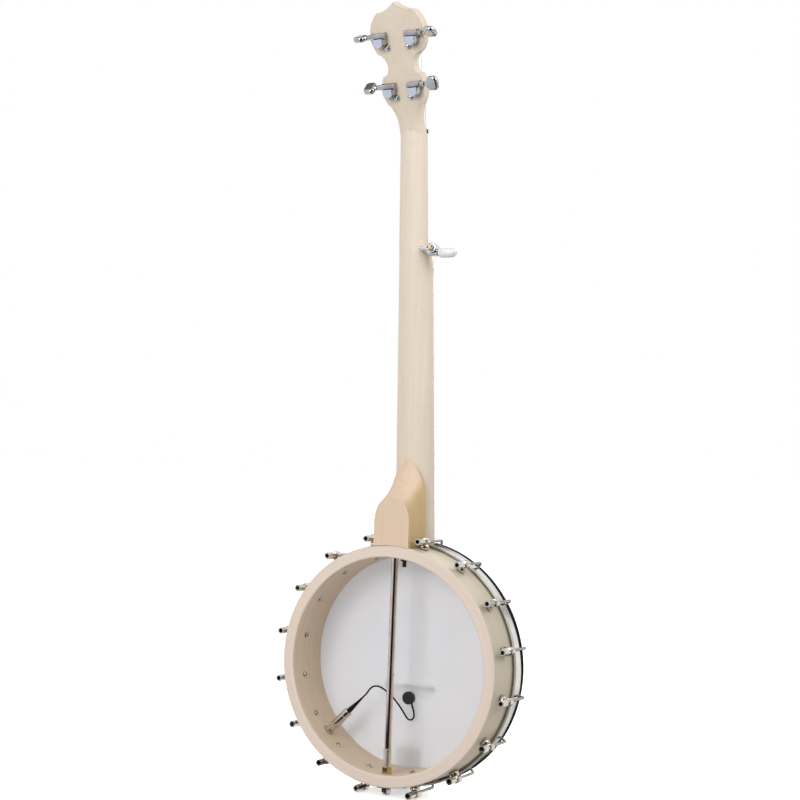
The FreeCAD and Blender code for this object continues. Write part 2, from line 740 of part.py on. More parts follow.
def behind_glue_plane():
    """Everything behind the glue plane, from the pot to above the scoop."""
    low_z = 100.0
    high_z = 300.0
    corners = [Vector(-60, lamination_plane(low_z), low_z), Vector(-60, 120, low_z),
               Vector(-60, 120, high_z), Vector(-60, lamination_plane(high_z), high_z)]
    corners.append(corners[0])
    return Part.Face(Part.makePolygon(corners)).extrude(Vector(120, 0, 0))


def pot_clearance():
    """The pot's outside: the rim, and the step where the tension hoop passes under the neck's end."""
    end = number("Sizes.neck_end")
    rim_side = Part.makeCylinder(
        number("Sizes.rim_outer + 0.05"), FAR, Vector(0, FAR / 2, 0), -Y_AXIS)
    hoop_side = Part.makeCylinder(
        number("Sizes.hoop_outer + 0.5"), number("Sizes.hoop_notch_front - Sizes.hoop_back") + 1.0,
        Vector(0, -number("Sizes.hoop_back") + 0.5, 0), -Y_AXIS)
    tongue_end = Part.makeBox(
        120, 100 - number("Sizes.hoop_notch_front"), 60, Vector(-60, -100, end - 60))
    return [rim_side, hoop_side, tongue_end]


def fret_slot(z):
    half = number("Sizes.fret_tang") / 2 + 0.01
    deep = number("Sizes.fret_tang_deep") + 0.05
    return Part.makeBox(80, deep + 5, 2 * half, Vector(-40, front_plane(z) - 5, z - half))


def fret_shape(z):
    """A half-round crown on a thin tang, as wide as the fingerboard."""
    right = treble_edge(z) - 0.2
    left = bass_edge(z) + 0.2
    front = front_plane(z) - 0.09
    radius = number("Sizes.fret_radius")
    crown = Part.makeCylinder(radius, right - left, Vector(left, front, z), X_AXIS)
    ahead = Part.makeBox(90, 5, 5, Vector(-45, front - 5, z - 2.5))
    tang = Part.makeBox(
        right - left, number("Sizes.fret_tang_deep"), number("Sizes.fret_tang"),
        Vector(left, front, z - number("Sizes.fret_tang") / 2))
    return crown.common(ahead).fuse(tang).removeSplitter()


DOT_FRETS = [3, 5, 7, 10, 12, 15, 17, 19]


def dot_shapes(radius, deep):
    shapes = []
    normal = Vector(0, -math.cos(math.radians(number("Sizes.neck_slope"))),
                    -math.sin(math.radians(number("Sizes.neck_slope"))))
    for index in DOT_FRETS:
        z = (fret_height(index) + fret_height(index - 1)) / 2
        across = (treble_edge(z) + bass_edge(z)) / 2
        offsets = [-7.5, 7.5] if index == 12 else [0.0]
        for offset in offsets:
            start = Vector(across + offset, front_plane(z), z) - normal * deep
            shapes.append(Part.makeCylinder(radius, deep, start, normal))
    return shapes


def peg_holes():
    """A bushing hole and a small screw's pilot hole for each tuner on the peghead."""
    holes = []
    for frame in tuner_frames():
        bushing = Part.makeCylinder(4.7, 60, Vector(0, -40, 0), Y_AXIS)
        pilot = Part.makeCylinder(1.17, 6, Vector(-7.6, -0.6, -7.2 * frame["side"]), Y_AXIS)
        holes += [placed(bushing, frame["place"]), placed(pilot, frame["place"])]
    return holes


def neck():
    frets = [fret_height(index) for index in range(1, int(number("Sizes.fret_count")) + 1)]
    nut_z = number("Sizes.nut_height")
    seat_y = front_plane(nut_z) + 3.0
    nut_seat = Part.makeBox(60, 40, 5.0, Vector(-26, seat_y - 40, nut_z))
    body = neck_shaft().fuse([throat(), head_plate()])
    ahead = Part.makeBox(80, 40, 20, Vector(-36, seat_y - 40, nut_z + 5.0))
    shaft_cut = body.cut([behind_glue_plane(), nut_seat, ahead] + pot_clearance())
    shaft_cut = shaft_cut.cut([fret_slot(z) for z in frets] + peg_holes())
    shank = fifth_frame()
    socket = Part.makeCylinder(3.55, 18.5, Vector(-18.5, FIFTH_HEIGHT, 0), X_AXIS)
    socket = placed(socket, shank)
    pip_hole = Part.makeCylinder(1.02, 8.0, Vector(FIFTH_PIP_X, front_plane(FIFTH_PIP_Z) - 1.0,
                                                   FIFTH_PIP_Z), Y_AXIS)
    shaft_cut = shaft_cut.cut([socket, pip_hole] + dot_shapes(3.02, 1.2))
    keep(solid("neck", largest(shaft_cut)), "neck")
    keep(solid("frets", Part.makeCompound([fret_shape(z) for z in frets])), "frets")
    keep(solid("position_dots", Part.makeCompound(dot_shapes(3.0, 1.15))), "position_dots")


def largest(shape):
    return max(shape.Solids, key=lambda item: item.Volume)


def heel_section(z):
    """The heel block's section: it deepens faster and faster below the start of the scoop."""
    scoop_start = 250.0
    back = front_plane(z) + neck_thickness(z)
    power = 2.3
    if z < scoop_start:
        back += 0.000653 * (scoop_start - z) ** 2.77
        power = 2.3 + 0.004 * (scoop_start - z)
    return rounded_section(
        treble_edge(z), bass_edge(z), front_plane(z), back,
        number("Sizes.side_flat"), power, lambda x, y: Vector(x, y, z))


def heel_block():
    heights = [262, 250, 242, 234, 226, 218, 210, 202, 194, 186, 178, 170]
    scoop = Part.makeLoft([heel_section(z) for z in heights], True, False)
    foot = heel_section(170)
    lowered = foot.copy()
    lowered.translate(Vector(-0.2, -2.1, -40))
    base = Part.makeLoft([foot, lowered], True, True)
    block = scoop.fuse(base).common(behind_glue_plane())
    behind = Part.makeBox(200, 200, 300, Vector(-100, 0, 50))
    bolt = number("Sizes.bolt_radius + 0.05")
    second = number("Sizes.second_bolt_radius + 0.05")
    holes = [
        Part.makeCylinder(bolt, 32.0, Vector(0, -number("Sizes.rod_depth"), 136.0), Z_AXIS),
        Part.makeCylinder(
            second, 29.5, Vector(0, -number("Sizes.second_bolt_depth"), 136.0), Z_AXIS),
    ]
    block = block.cut([behind] + pot_clearance() + holes)
    keep(solid("heel_block", largest(block)), "heel_block")


def string_nut():
    """The string nut in its seat, with a notch for each of the four long strings."""
    nut_z = number("Sizes.nut_height")
    seat_y = front_plane(nut_z) + 3.0
    half = number("Sizes.nut_width") / 2 - 0.2
    centre = number("Sizes.nut_centre")
    profile = [Vector(0, seat_y - 0.02, nut_z + 0.02), Vector(0, NUT_STRING_Y - 0.3, nut_z + 0.02),
               Vector(0, NUT_STRING_Y - 0.3, nut_z + 1.6), Vector(0, NUT_STRING_Y + 1.2, nut_z + 4.98),
               Vector(0, seat_y - 0.02, nut_z + 4.98)]
    profile.append(profile[0])
    bar = Part.Face(Part.makePolygon(profile)).extrude(Vector(2 * half, 0, 0))
    bar.translate(Vector(centre - half, 0, 0))
    notches = []
    for index in range(4):
        bridge_end, at_nut, at_post = string_points(index)[1:]
        notches.append(rod_between(bridge_end, at_nut, STRING_RADII[index] + 0.04))
        notches.append(rod_between(at_nut, at_post, STRING_RADII[index] + 0.04))
        notches.append(Part.makeBox(
            2 * STRING_RADII[index] + 0.08, 3.0, 6.0,
            Vector(NUT_X[index] - STRING_RADII[index] - 0.04, NUT_STRING_Y - 3.0, nut_z)))
    keep(solid("string_nut", bar.cut(notches)), "string_nut")
    pip = Part.makeCylinder(
        1.0, 9.5, Vector(FIFTH_PIP_X, front_plane(FIFTH_PIP_Z) - 3.2, FIFTH_PIP_Z), Y_AXIS)
    rim_disc = Part.makeCylinder(
        1.8, 1.2, Vector(FIFTH_PIP_X, front_plane(FIFTH_PIP_Z) - 3.9, FIFTH_PIP_Z), Y_AXIS)
    keep(solid("fifth_string_pip", pip.fuse(rim_disc)), "fifth_string_pip")


# ---------------------------------------------------------------- tuners

def tuner_frames():
    """Four peghead tuners: own X towards the button, own Y out of the peghead's back."""
    back = number("Sizes.head_drop + Sizes.head_plate")
    upper = (number("Sizes.upper_post_across"), number("Sizes.upper_post_along"))
    lower = (number("Sizes.lower_post_across"), number("Sizes.lower_post_along"))
    frames = []
    rows = [("tuner_1", 1, lower, 55.0), ("tuner_2", 1, upper, 82.0),
            ("tuner_3", -1, upper, 55.0), ("tuner_4", -1, lower, 12.0)]
    for label, side, (across, along), button_turn in rows:
        place = frame_from(on_head(side * across, along, back), X_AXIS * side, HEAD_BACK)
        frames.append({"label": label, "place": place, "side": side, "button_turn": button_turn})
    return frames


def fifth_frame():
    """The fifth string's tuner beside the neck: own X away from the neck, own Y backwards."""
    return frame_from(Vector(-26.8, -23.0, 495.7), -X_AXIS, Y_AXIS)


def tuner_post(label, place, tip):
    """A post that carries the gear at its back end and winds the string at its front end."""
    groove_back = tip + 6.6
    groove_front = tip + 1.8
    body = turned(f"{label}_blank", [
        ("0", "6.9"),
        ("Sizes.post_radius - 0.7", "6.9"),
        ("Sizes.post_radius - 0.7", "2.35"),
        ("Sizes.post_radius", "2.35"),
        ("Sizes.post_radius", str(groove_back)),
        ("Sizes.post_radius - 0.5", str(groove_back - 0.9)),
        ("Sizes.post_radius - 0.5", str(groove_front + 0.9)),
        ("Sizes.post_radius", str(groove_front)),
        ("Sizes.post_radius", str(tip + 0.6)),
        ("Sizes.post_radius - 0.6", str(tip)),
        ("0", str(tip)),
    ], place)
    hole = Part.makeCylinder(0.7, 20, Vector(-10, (groove_back + groove_front) / 2, 0), X_AXIS)
    hole.Placement = place.multiply(hole.Placement)
    keep(cut(body, [hole]), label)


def gear_shape():
    """A worm wheel about its own Y axis, its teeth standing between the worm's rings."""
    teeth = int(number("Sizes.gear_teeth"))
    tip = number("Sizes.gear_radius")
    root = number("Sizes.gear_root")
    thick = number("Sizes.gear_thick")
    middle = number("Sizes.worm_height")
    corners = []
    pitch = 2 * math.pi / teeth
    for index in range(teeth):
        start = pitch * (index - 0.5)
        for share, radius in ((0.0, root), (0.28, root), (0.40, tip), (0.60, tip), (0.72, root)):
            turn = start + pitch * share
            corners.append(Vector(radius * math.cos(turn), 0, radius * math.sin(turn)))
    corners.append(corners[0])
    wheel = Part.Face(Part.makePolygon(corners)).extrude(Vector(0, thick, 0))
    wheel.translate(Vector(0, middle - thick / 2, 0))
    bore = Part.makeCylinder(
        number("Sizes.post_radius - 0.7 + 0.02"), 20, Vector(0, -5, 0), Y_AXIS)
    return wheel.cut(bore)


def worm_corners():
    """(radius, distance along the shaft) corners of a worm shaft with four rings."""
    corners = [("0", "-6.4"), ("Sizes.worm_shaft", "-6.4")]
    for index in range(4):
        centre = -2.79 + 1.86 * index
        corners += [
            ("Sizes.worm_shaft", str(round(centre - 0.5, 3))),
            ("Sizes.worm_ring", str(round(centre - 0.2, 3))),
            ("Sizes.worm_ring", str(round(centre + 0.2, 3))),
            ("Sizes.worm_shaft", str(round(centre + 0.5, 3))),
        ]
    corners += [("Sizes.worm_shaft", "Sizes.button_start + 3.0"), ("0", "Sizes.button_start + 3.0")]
    return corners


def along_x(place, offset):
    """A placement in a tuner's frame whose own Y axis runs along the tuner's X axis."""
    return place.multiply(Placement(offset, Rotation(Y_AXIS, X_AXIS)))


def d_shape(radius, top, height, taper):
    """A half-round plate with a straight top, narrowing a little towards the back."""
    low = []
    for inset, y in ((0.0, 0.0), (taper, height)):
        r = radius - inset
        lift = top - inset
        wire = Part.Wire([
            Part.Arc(Vector(r, y, 0), Vector(0, y, -r), Vector(-r, y, 0)).toShape(),
            Part.LineSegment(Vector(-r, y, 0), Vector(-r, y, lift)).toShape(),
            Part.LineSegment(Vector(-r, y, lift), Vector(r, y, lift)).toShape(),
            Part.LineSegment(Vector(r, y, lift), Vector(r, y, 0)).toShape(),
        ])
        low.append(wire)
    return Part.makeLoft(low, True, True)


def housing_shape(worm_side):
    """A sealed gear housing, its worm barrel on one side of the post, with a screw ear."""
    radius = number("Sizes.housing_radius")
    tall = number("Sizes.housing_tall")
    offset = number("Sizes.worm_offset")
    height = number("Sizes.worm_height")
    main = d_shape(radius, 4.8, tall, 1.3)
    barrel = Part.makeCylinder(4.3, 2 * radius + 0.6, Vector(-radius, height, offset), X_AXIS)
    barrel_base = Part.makeBox(2 * radius + 0.6, height, 8.6, Vector(-radius, 0, offset - 4.3))
    ferrule = Part.makeCylinder(3.1, 6.6, Vector(radius, height, offset), X_AXIS)
    ear = Part.makeCylinder(3.2, 2.2, Vector(-7.6, 0, -7.2), Y_AXIS)
    ear_web = Part.makeBox(6.0, 2.2, 6.0, Vector(-7.6, 0, -7.2))
    body = main.fuse([barrel, barrel_base, ferrule, ear, ear_web])
    gear_room = Part.makeCylinder(
        number("Sizes.gear_radius + 0.5"), 20, Vector(0, 2.2, 0), Y_AXIS)
    worm_room = Part.makeCylinder(
        number("Sizes.worm_ring + 0.3"), 12.0, Vector(-6.0, height, offset), X_AXIS)
    worm_bore = Part.makeCylinder(
        number("Sizes.worm_shaft + 0.05"), 40, Vector(-6.9, height, offset), X_AXIS)
    post_bore = Part.makeCylinder(
        number("Sizes.post_radius + Sizes.post_clearance"), 20, Vector(0, -5, 0), Y_AXIS)
    ear_hole = Part.makeCylinder(1.25, 10, Vector(-7.6, -3, -7.2), Y_AXIS)
    body = body.cut([gear_room, worm_room, worm_bore, post_bore, ear_hole])
    if worm_side < 0:
        body = body.mirror(ORIGIN, Z_AXIS)
    return body


def lid_shape(worm_side):
    lid = d_shape(number("Sizes.housing_radius") - 1.9, 4.4, 0.9, 0.3)
    lid.translate(Vector(0, number("Sizes.housing_tall") + 0.01, 0))
    if worm_side < 0:
        lid = lid.mirror(ORIGIN, Z_AXIS)
    return lid


def bushing_shape():
    """A flanged hexagonal bushing that guides the post through the peghead's front."""
    plate_thick = number("Sizes.head_plate")
    sleeve = Part.makeCylinder(4.6, 8.4, Vector(0, -plate_thick - 0.4, 0), Y_AXIS)
    washer = Part.makeCylinder(7.0, 0.8, Vector(0, -plate_thick - 0.82, 0), Y_AXIS)
    place = Placement(Vector(0, -plate_thick - 3.6, 0), Rotation(Z_AXIS, Y_AXIS))
    top = hexagon(10.0, 2.8, place)
    bore = Part.makeCylinder(
        number("Sizes.post_radius + Sizes.post_clearance"), 60, Vector(0, -40, 0), Y_AXIS)
    return sleeve.fuse([washer, top]).cut(bore)


def ear_screw_shape(worm_side):
    """The small screw through a housing's ear into the wood."""
    z = -7.2 * worm_side
    head_disc = Part.makeCylinder(2.1, 1.2, Vector(-7.6, 2.22, z), Y_AXIS)
    dome = Part.makeSphere(3.0, Vector(-7.6, 0.6, z))
    shank = Part.makeCylinder(1.15, 3.0, Vector(-7.6, -0.5, z), Y_AXIS)
    slot = Part.makeBox(3.0, 0.6, 0.5, Vector(-9.1, 2.9, z - 0.25))
    return head_disc.common(dome).fuse(shank).cut(slot)


def button_shape():
    """A pillow-shaped button with a neck, about its own X axis from the shaft's end."""
    start = number("Sizes.button_start")
    length = number("Sizes.button_long")
    wide = number("Sizes.button_wide")
    thick = number("Sizes.button_thick")
    paddle = Part.makeBox(
        length, thick, wide, Vector(start + 2.0, -thick / 2, -wide / 2))
    upright = [edge for edge in paddle.Edges if edge.BoundBox.YLength > thick - 0.01]
    paddle = paddle.makeFillet(5.0, upright)
    rims = [edge for edge in paddle.Edges if edge.BoundBox.YLength < 0.01]
    paddle = paddle.makeFillet(2.9, rims)
    stem = Part.makeCone(2.7, 3.2, 4.5, Vector(start, 0, 0), X_AXIS)
    bore = Part.makeCylinder(
        number("Sizes.worm_shaft") + 0.02, 13.1, Vector(start - 10, 0, 0), X_AXIS)
    screw_seat = Part.makeCylinder(
        1.62, 3.0, Vector(start + length - 0.4, 0, 0), X_AXIS)
    return paddle.fuse(stem).cut([bore, screw_seat])


def button_screw_shape():
    start = number("Sizes.button_start")
    length = number("Sizes.button_long")
    return Part.makeCylinder(1.6, 2.9, Vector(start + length - 0.35, 0, 0), X_AXIS)


def placed(shape, place):
    copy = shape.copy()
    copy.Placement = place.multiply(copy.Placement)
    return copy


def peghead_tuners():
    housings = []
    lids = []
    bushings = []
    screws = []
    tip = -number("Sizes.head_plate") - 12.6
    for frame in tuner_frames():
        label = frame["label"]
        place = frame["place"]
        side = frame["side"]
        offset = Vector(0, number("Sizes.worm_height"), side * number("Sizes.worm_offset"))
        tuner_post(f"{label}_post", place, tip)
        keep(solid(f"{label}_gear", gear_shape(), place), f"{label}_gear")
        keep(turned(f"{label}_worm", worm_corners(), along_x(place, offset)), f"{label}_worm")
        turn = Placement(offset, Rotation(X_AXIS, frame["button_turn"]))
        button = Part.makeCompound([button_shape(), button_screw_shape()])
        keep(solid(f"{label}_button", button, place.multiply(turn)), f"{label}_button")
        housings.append(placed(housing_shape(side), place))
        lids.append(placed(lid_shape(side), place))
        bushings.append(placed(bushing_shape(), place))
        screws.append(placed(ear_screw_shape(side), place))
    keep(solid("tuner_housings", Part.makeCompound(housings)), "tuner_housings")
    keep(solid("tuner_lids", Part.makeCompound(lids)), "tuner_lids")
    keep(solid("tuner_bushings", Part.makeCompound(bushings)), "tuner_bushings")
    keep(solid("tuner_screws", Part.makeCompound(screws)), "tuner_screws")


FIFTH_BOX = 13.0
FIFTH_OFFSET = 5.6
FIFTH_HEIGHT = -7.0


def fifth_tuner():
    """The fifth string's tuner: a round gearbox on a shank pressed into the neck's side."""
    place = fifth_frame()
    box = Part.makeCylinder(6.4, FIFTH_BOX, Vector(0, -FIFTH_BOX, 0), Y_AXIS)
    rim_edges = [edge for edge in box.Edges if edge.BoundBox.YLength < 0.01]
    box = box.makeFillet(0.8, rim_edges)
    barrel = Part.makeCylinder(3.7, 13.6, Vector(-6.2, FIFTH_HEIGHT, FIFTH_OFFSET), X_AXIS)
    shank = Part.makeCylinder(3.5, 13.0, Vector(-18.0, FIFTH_HEIGHT, 0), X_AXIS)
    collar = Part.makeCylinder(5.0, 5.4, Vector(-10.4, FIFTH_HEIGHT, 0), X_AXIS)
    gear_room = Part.makeCylinder(4.2, 5.6, Vector(0, FIFTH_HEIGHT - 2.5, 0), Y_AXIS)
    lid_room = Part.makeCylinder(4.2, 20.0, Vector(0, FIFTH_HEIGHT, 0), Y_AXIS)
    worm_room = Part.makeCylinder(2.2, 10.5, Vector(-5.0, FIFTH_HEIGHT, FIFTH_OFFSET), X_AXIS)
    worm_bore = Part.makeCylinder(1.45, 20, Vector(-5.4, FIFTH_HEIGHT, FIFTH_OFFSET), X_AXIS)
    post_bore = Part.makeCylinder(2.55, 40, Vector(0, -30, 0), Y_AXIS)
    post_bore = post_bore.common(Part.makeBox(20, 30, 20, Vector(-10, -34, -10)))
    nose = Part.makeCylinder(4.0, 1.5, Vector(0, -FIFTH_BOX - 1.5, 0), Y_AXIS)
    body = box.fuse([barrel, shank, collar, nose])
    body = body.cut([gear_room, lid_room, worm_room, worm_bore, post_bore])
    keep(solid("fifth_tuner_housing", largest(body), place), "fifth_tuner_housing")
    lid = Part.makeCylinder(4.15, 1.6, Vector(0, -1.5, 0), Y_AXIS)
    screw_slot = Part.makeBox(4.0, 0.6, 0.7, Vector(-2.0, -0.3, -0.35))
    keep(solid("fifth_tuner_lid", lid.cut(screw_slot), place), "fifth_tuner_lid")
    keep(turned("fifth_tuner_post", [
        ("0", "-4.2"), ("1.8", "-4.2"), ("1.8", "-9.4"), ("2.5", "-9.4"), ("2.5", "-19.0"),
        ("2.1", "-19.8"), ("2.1", "-23.4"), ("2.5", "-24.2"), ("2.5", "-25.4"), ("2.0", "-26.0"),
        ("0", "-26.0"),
    ], place), "fifth_tuner_post")
    gear = gear_shape()
    gear.scale(3.67 / number("Sizes.gear_radius"))
    bore = Part.makeCylinder(1.82, 20, Vector(0, -5, 0), Y_AXIS)
    gear = gear.fuse(Part.makeCylinder(2.6, 3.2, Vector(0, 2.0, 0), Y_AXIS)).cut(bore)
    middle = (gear.BoundBox.YMin + gear.BoundBox.YMax) / 2
    gear.translate(Vector(0, FIFTH_HEIGHT - middle, 0))
    keep(solid("fifth_tuner_gear", gear, place), "fifth_tuner_gear")
    worm = [("0", "-5.2"), ("1.4", "-5.2")]
    for index in range(4):
        centre = -2.232 + 1.488 * index
        worm += [("1.4", str(round(centre - 0.4, 3))), ("1.78", str(round(centre - 0.15, 3))),
                 ("1.78", str(round(centre + 0.15, 3))), ("1.4", str(round(centre + 0.4, 3)))]
    worm += [("1.4", "13.0"), ("0", "13.0")]
    offset = Vector(0, FIFTH_HEIGHT, FIFTH_OFFSET)
    keep(turned("fifth_tuner_worm", worm, along_x(place, offset)), "fifth_tuner_worm")
    button = turned("barrel_button", [
        ("1.42", "9.0"), ("4.6", "9.0"), ("5.3", "10.2"), ("5.75", "14.5"), ("5.75", "21.0"),
        ("5.2", "27.0"), ("4.2", "30.0"), ("0", "30.0"), ("0", "13.02"), ("1.42", "13.02"),
    ], along_x(place, offset))
    end_screw = turned("end_screw", [
        ("0", "30.02"), ("2.5", "30.02"), ("2.5", "31.0"), ("1.4", "32.2"), ("0", "32.2"),
    ], along_x(place, offset))
    pair = Part.makeCompound([button.Shape.Solids[0], end_screw.Shape.Solids[0]])
    keep(solid("fifth_tuner_button", pair), "fifth_tuner_button")


# ---------------------------------------------------------------- strings

def tail_point(index):
    """Where a string leaves its pin on the tailpiece."""
    return Vector(12.0 - 6.0 * index, TAIL_Y - 2.6, TAIL_Z - 2.6)


def winding(index):
    """A string's winding round its post: its centre, its axis and its middle radius."""
    radius = STRING_RADII[index]
    if index == 4:
        post = FIFTH_POST_RADIUS
        centre = fifth_frame().multVec(Vector(0, -21.6, 0))
        axis = Y_AXIS
    else:
        post = number("Sizes.post_radius")
        ahead_of_back = -number("Sizes.head_plate") - 8.4
        centre = tuner_frames()[index]["place"].multVec(Vector(0, ahead_of_back, 0))
        axis = HEAD_BACK
    return centre, axis, post + WINDING_GAP + radius


def string_points(index):
    """A string's run: tailpiece pin, bridge, nut notch or pip, and winding."""
    centre, _, reach = winding(index)
    if index == 4:
        beside_pip = FIFTH_PIP_X + 1.0 + STRING_RADII[4] + 0.2
        at_nut = Vector(beside_pip, front_plane(FIFTH_PIP_Z) - 2.2, FIFTH_PIP_Z)
    else:
        at_nut = Vector(NUT_X[index], NUT_STRING_Y, number("Sizes.nut_height") + 0.8)
    return [
        tail_point(index),
        Vector(SADDLE_X[index], BRIDGE_TOP, BRIDGE_Z),
        at_nut,
        centre + (at_nut - centre).normalize() * reach,
    ]


def strung(index):
    """A taut string along its points, mitred where it bends, and a ring for its three turns."""
    radius = STRING_RADII[index]
    points = string_points(index)
    centre, axis, reach = winding(index)
    section = Part.Wire(Part.makeCircle(radius, points[0], points[1] - points[0]))
    run = Part.makePolygon(points).makePipeShell([section], True, False, 1)
    half = 3 * radius
    ring = Part.makeCylinder(reach + radius, 2 * half, centre - axis * half, axis)
    ring = ring.cut(Part.makeCylinder(reach - radius, 4 * half, centre - axis * 2 * half, axis))
    return run.fuse(ring)


def strings():
    for index in range(5):
        keep(solid(f"string_{index + 1}", strung(index)), f"string_{index + 1}")


# ---------------------------------------------------------------- pickup

CABLE_ROUTE = [
    # hand-chosen points from the boot's tip to the pickup disc
    Vector(46.9, -31.0, -45.7),
    Vector(41.6, -32.0, -40.5),
    Vector(36.4, -34.0, -31.2),
    Vector(29.0, -38.5, -29.6),
    Vector(22.4, -44.5, -35.0),
    Vector(15.6, -49.5, -42.3),
    Vector(8.6, -53.8, -52.0),
    Vector(2.4, -56.6, -61.8),
    Vector(-2.2, -57.8, -68.9),
    Vector(-6.8, -58.4, -69.5),
    Vector(-10.1, -58.9, -66.3),
    Vector(-9.7, -59.5, -61.2),
    Vector(-7.4, -60.1, -54.8),
    Vector(-4.8, -60.6, -48.9),
]


def cable_path(points, diameter):
    """Straight runs joined by tangent arcs, each as large as its two runs allow."""
    edges = []
    start = points[0]
    for before, corner, after in zip(points, points[1:], points[2:]):
        incoming = (corner - before).normalize()
        outgoing = (after - corner).normalize()
        shorter = min((corner - before).Length, (after - corner).Length)
        trim = 0.45 * shorter
        half_turn = incoming.getAngle(outgoing) / 2
        radius = trim / math.tan(half_turn)
        print(f"cable arc radius {radius:.1f} mm, {radius / diameter:.1f} diameters")
        arc_start = corner - incoming * trim
        arc_end = corner + outgoing * trim
        toward_centre = (outgoing - incoming).normalize()
        middle = corner + toward_centre * (radius / math.cos(half_turn) - radius)
        edges.append(Part.LineSegment(start, arc_start).toShape())
        edges.append(Part.Arc(arc_start, middle, arc_end).toShape())
        start = arc_end
    edges.append(Part.LineSegment(start, points[-1]).toShape())
    return Part.Wire(edges)


def pickup():
    """A contact pickup on the head's inside, its cable, and the jack through the rim."""
    disc_place = Placement(Vector(-1.0, 0, -43.7), Rotation())
    keep(turned("pickup_disc", [
        ("0", "-Sizes.rim_depth + 0.02"),
        ("Sizes.disc_radius", "-Sizes.rim_depth + 0.02"),
        ("Sizes.disc_radius", "-Sizes.rim_depth + Sizes.disc_thick - 0.6"),
        ("Sizes.disc_radius - 0.6", "-Sizes.rim_depth + Sizes.disc_thick"),
        ("0", "-Sizes.rim_depth + Sizes.disc_thick"),
    ], disc_place), "pickup_disc")
    outward = jack_direction()
    jack_place = Placement(Vector(0, -number("Sizes.jack_depth"), 0), Rotation(Y_AXIS, outward))
    keep(turned("jack_barrel", [
        ("0", "Sizes.jack_inner_end"),
        ("4.4", "Sizes.jack_inner_end"),
        ("Sizes.jack_radius", "Sizes.jack_inner_end + 1.2"),
        ("Sizes.jack_radius", "Sizes.jack_inner_end + 7.0"),
        ("Sizes.jack_radius - 0.7", "Sizes.jack_inner_end + 7.5"),
        ("Sizes.jack_radius - 0.7", "Sizes.jack_inner_end + 8.9"),
        ("Sizes.jack_radius", "Sizes.jack_inner_end + 9.4"),
        ("Sizes.jack_radius", "Sizes.rim_outer + 5.2"),
        ("Sizes.jack_bore", "Sizes.rim_outer + 5.2"),
        ("Sizes.jack_bore", "Sizes.rim_inner - 20.0"),
        ("0", "Sizes.rim_inner - 20.0"),
    ], jack_place), "jack_barrel")
    inner_ring = Part.makeCylinder(7.0, 3.0, jack_point(number("Sizes.rim_inner") - 3.6), outward)
    outer_ring = Part.makeCylinder(8.2, 2.4, jack_point(number("Sizes.rim_outer") + 0.3), outward)
    bore = Part.makeCylinder(number("Sizes.jack_radius") + 0.03, 60, jack_point(100), outward)
    rings = Part.makeCompound([inner_ring.cut(bore), outer_ring.cut(bore)])
    keep(solid("jack_rings", rings), "jack_rings")
    keep(turned("jack_boot", [
        ("0", "Sizes.boot_end"),
        ("1.2", "Sizes.boot_end"),
        ("3.0", "Sizes.jack_inner_end - 3.5"),
        ("3.0", "Sizes.jack_inner_end - 0.02"),
        ("0", "Sizes.jack_inner_end - 0.02"),
    ], jack_place), "jack_boot")
    radius = number("Sizes.cable_diameter") / 2
    path = cable_path(CABLE_ROUTE, 2 * radius)
    first_run = CABLE_ROUTE[1] - CABLE_ROUTE[0]
    section = Part.Wire(Part.makeCircle(radius, CABLE_ROUTE[0], first_run))
    tube = path.makePipeShell([section], True, False)
    expected = math.pi * radius ** 2 * path.Length
    print(f"cable length {path.Length:.1f} mm, volume {tube.Volume:.1f} of {expected:.1f} mm3")
    keep(solid("pickup_cable", tube), "pickup_cable")


# ---------------------------------------------------------------- build and write

rim()
head()
tension_hoop()
brackets()
rod_assembly()
tailpiece()
bridge()
neck()
heel_block()
string_nut()
peghead_tuners()
fifth_tuner()
strings()
pickup()
doc.recompute()

for item in doc.Objects:
    if "Invalid" in item.State or "Error" in item.State:
        raise RuntimeError(f"{item.Label} failed to compute: {item.State}")
for piece in kept:
    if piece.Shape.isNull() or not piece.Shape.isValid() or not piece.Shape.Solids:
        raise RuntimeError(f"{piece.Label} has no valid solid")

os.makedirs("parts", exist_ok=True)
for piece in kept:
    piece.Shape.exportStep(f"parts/{piece.Label}.step")
print(f"{len(kept)} parts written")
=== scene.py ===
import math

import bmesh
import bpy
from mathutils import Matrix, Vector


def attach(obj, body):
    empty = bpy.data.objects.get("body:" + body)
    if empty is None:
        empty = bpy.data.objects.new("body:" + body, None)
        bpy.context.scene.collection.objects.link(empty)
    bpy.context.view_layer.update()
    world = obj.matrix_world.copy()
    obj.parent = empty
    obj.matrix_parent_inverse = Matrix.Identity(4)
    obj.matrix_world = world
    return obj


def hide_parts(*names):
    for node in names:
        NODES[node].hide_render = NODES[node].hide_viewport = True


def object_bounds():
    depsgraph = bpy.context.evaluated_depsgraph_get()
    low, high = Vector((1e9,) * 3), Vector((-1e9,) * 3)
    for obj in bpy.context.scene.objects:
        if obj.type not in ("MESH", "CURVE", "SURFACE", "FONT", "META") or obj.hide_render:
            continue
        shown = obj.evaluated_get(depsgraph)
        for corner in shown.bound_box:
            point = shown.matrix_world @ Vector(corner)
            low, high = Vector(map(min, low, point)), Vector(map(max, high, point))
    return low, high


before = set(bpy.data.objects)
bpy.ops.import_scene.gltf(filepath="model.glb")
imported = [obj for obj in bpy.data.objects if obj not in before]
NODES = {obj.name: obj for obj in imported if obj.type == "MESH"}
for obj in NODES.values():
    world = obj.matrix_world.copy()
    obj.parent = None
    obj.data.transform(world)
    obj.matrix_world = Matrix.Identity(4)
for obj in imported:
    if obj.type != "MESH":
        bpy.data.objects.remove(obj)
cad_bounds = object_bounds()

# Open-back five-string banjo, in metres. +Z runs up the neck, the strings face -Y and the treble
# side is +X. CAD nodes keep their shapes and get materials. The strings, the cable and its boot are
# made here.

MM = 0.001


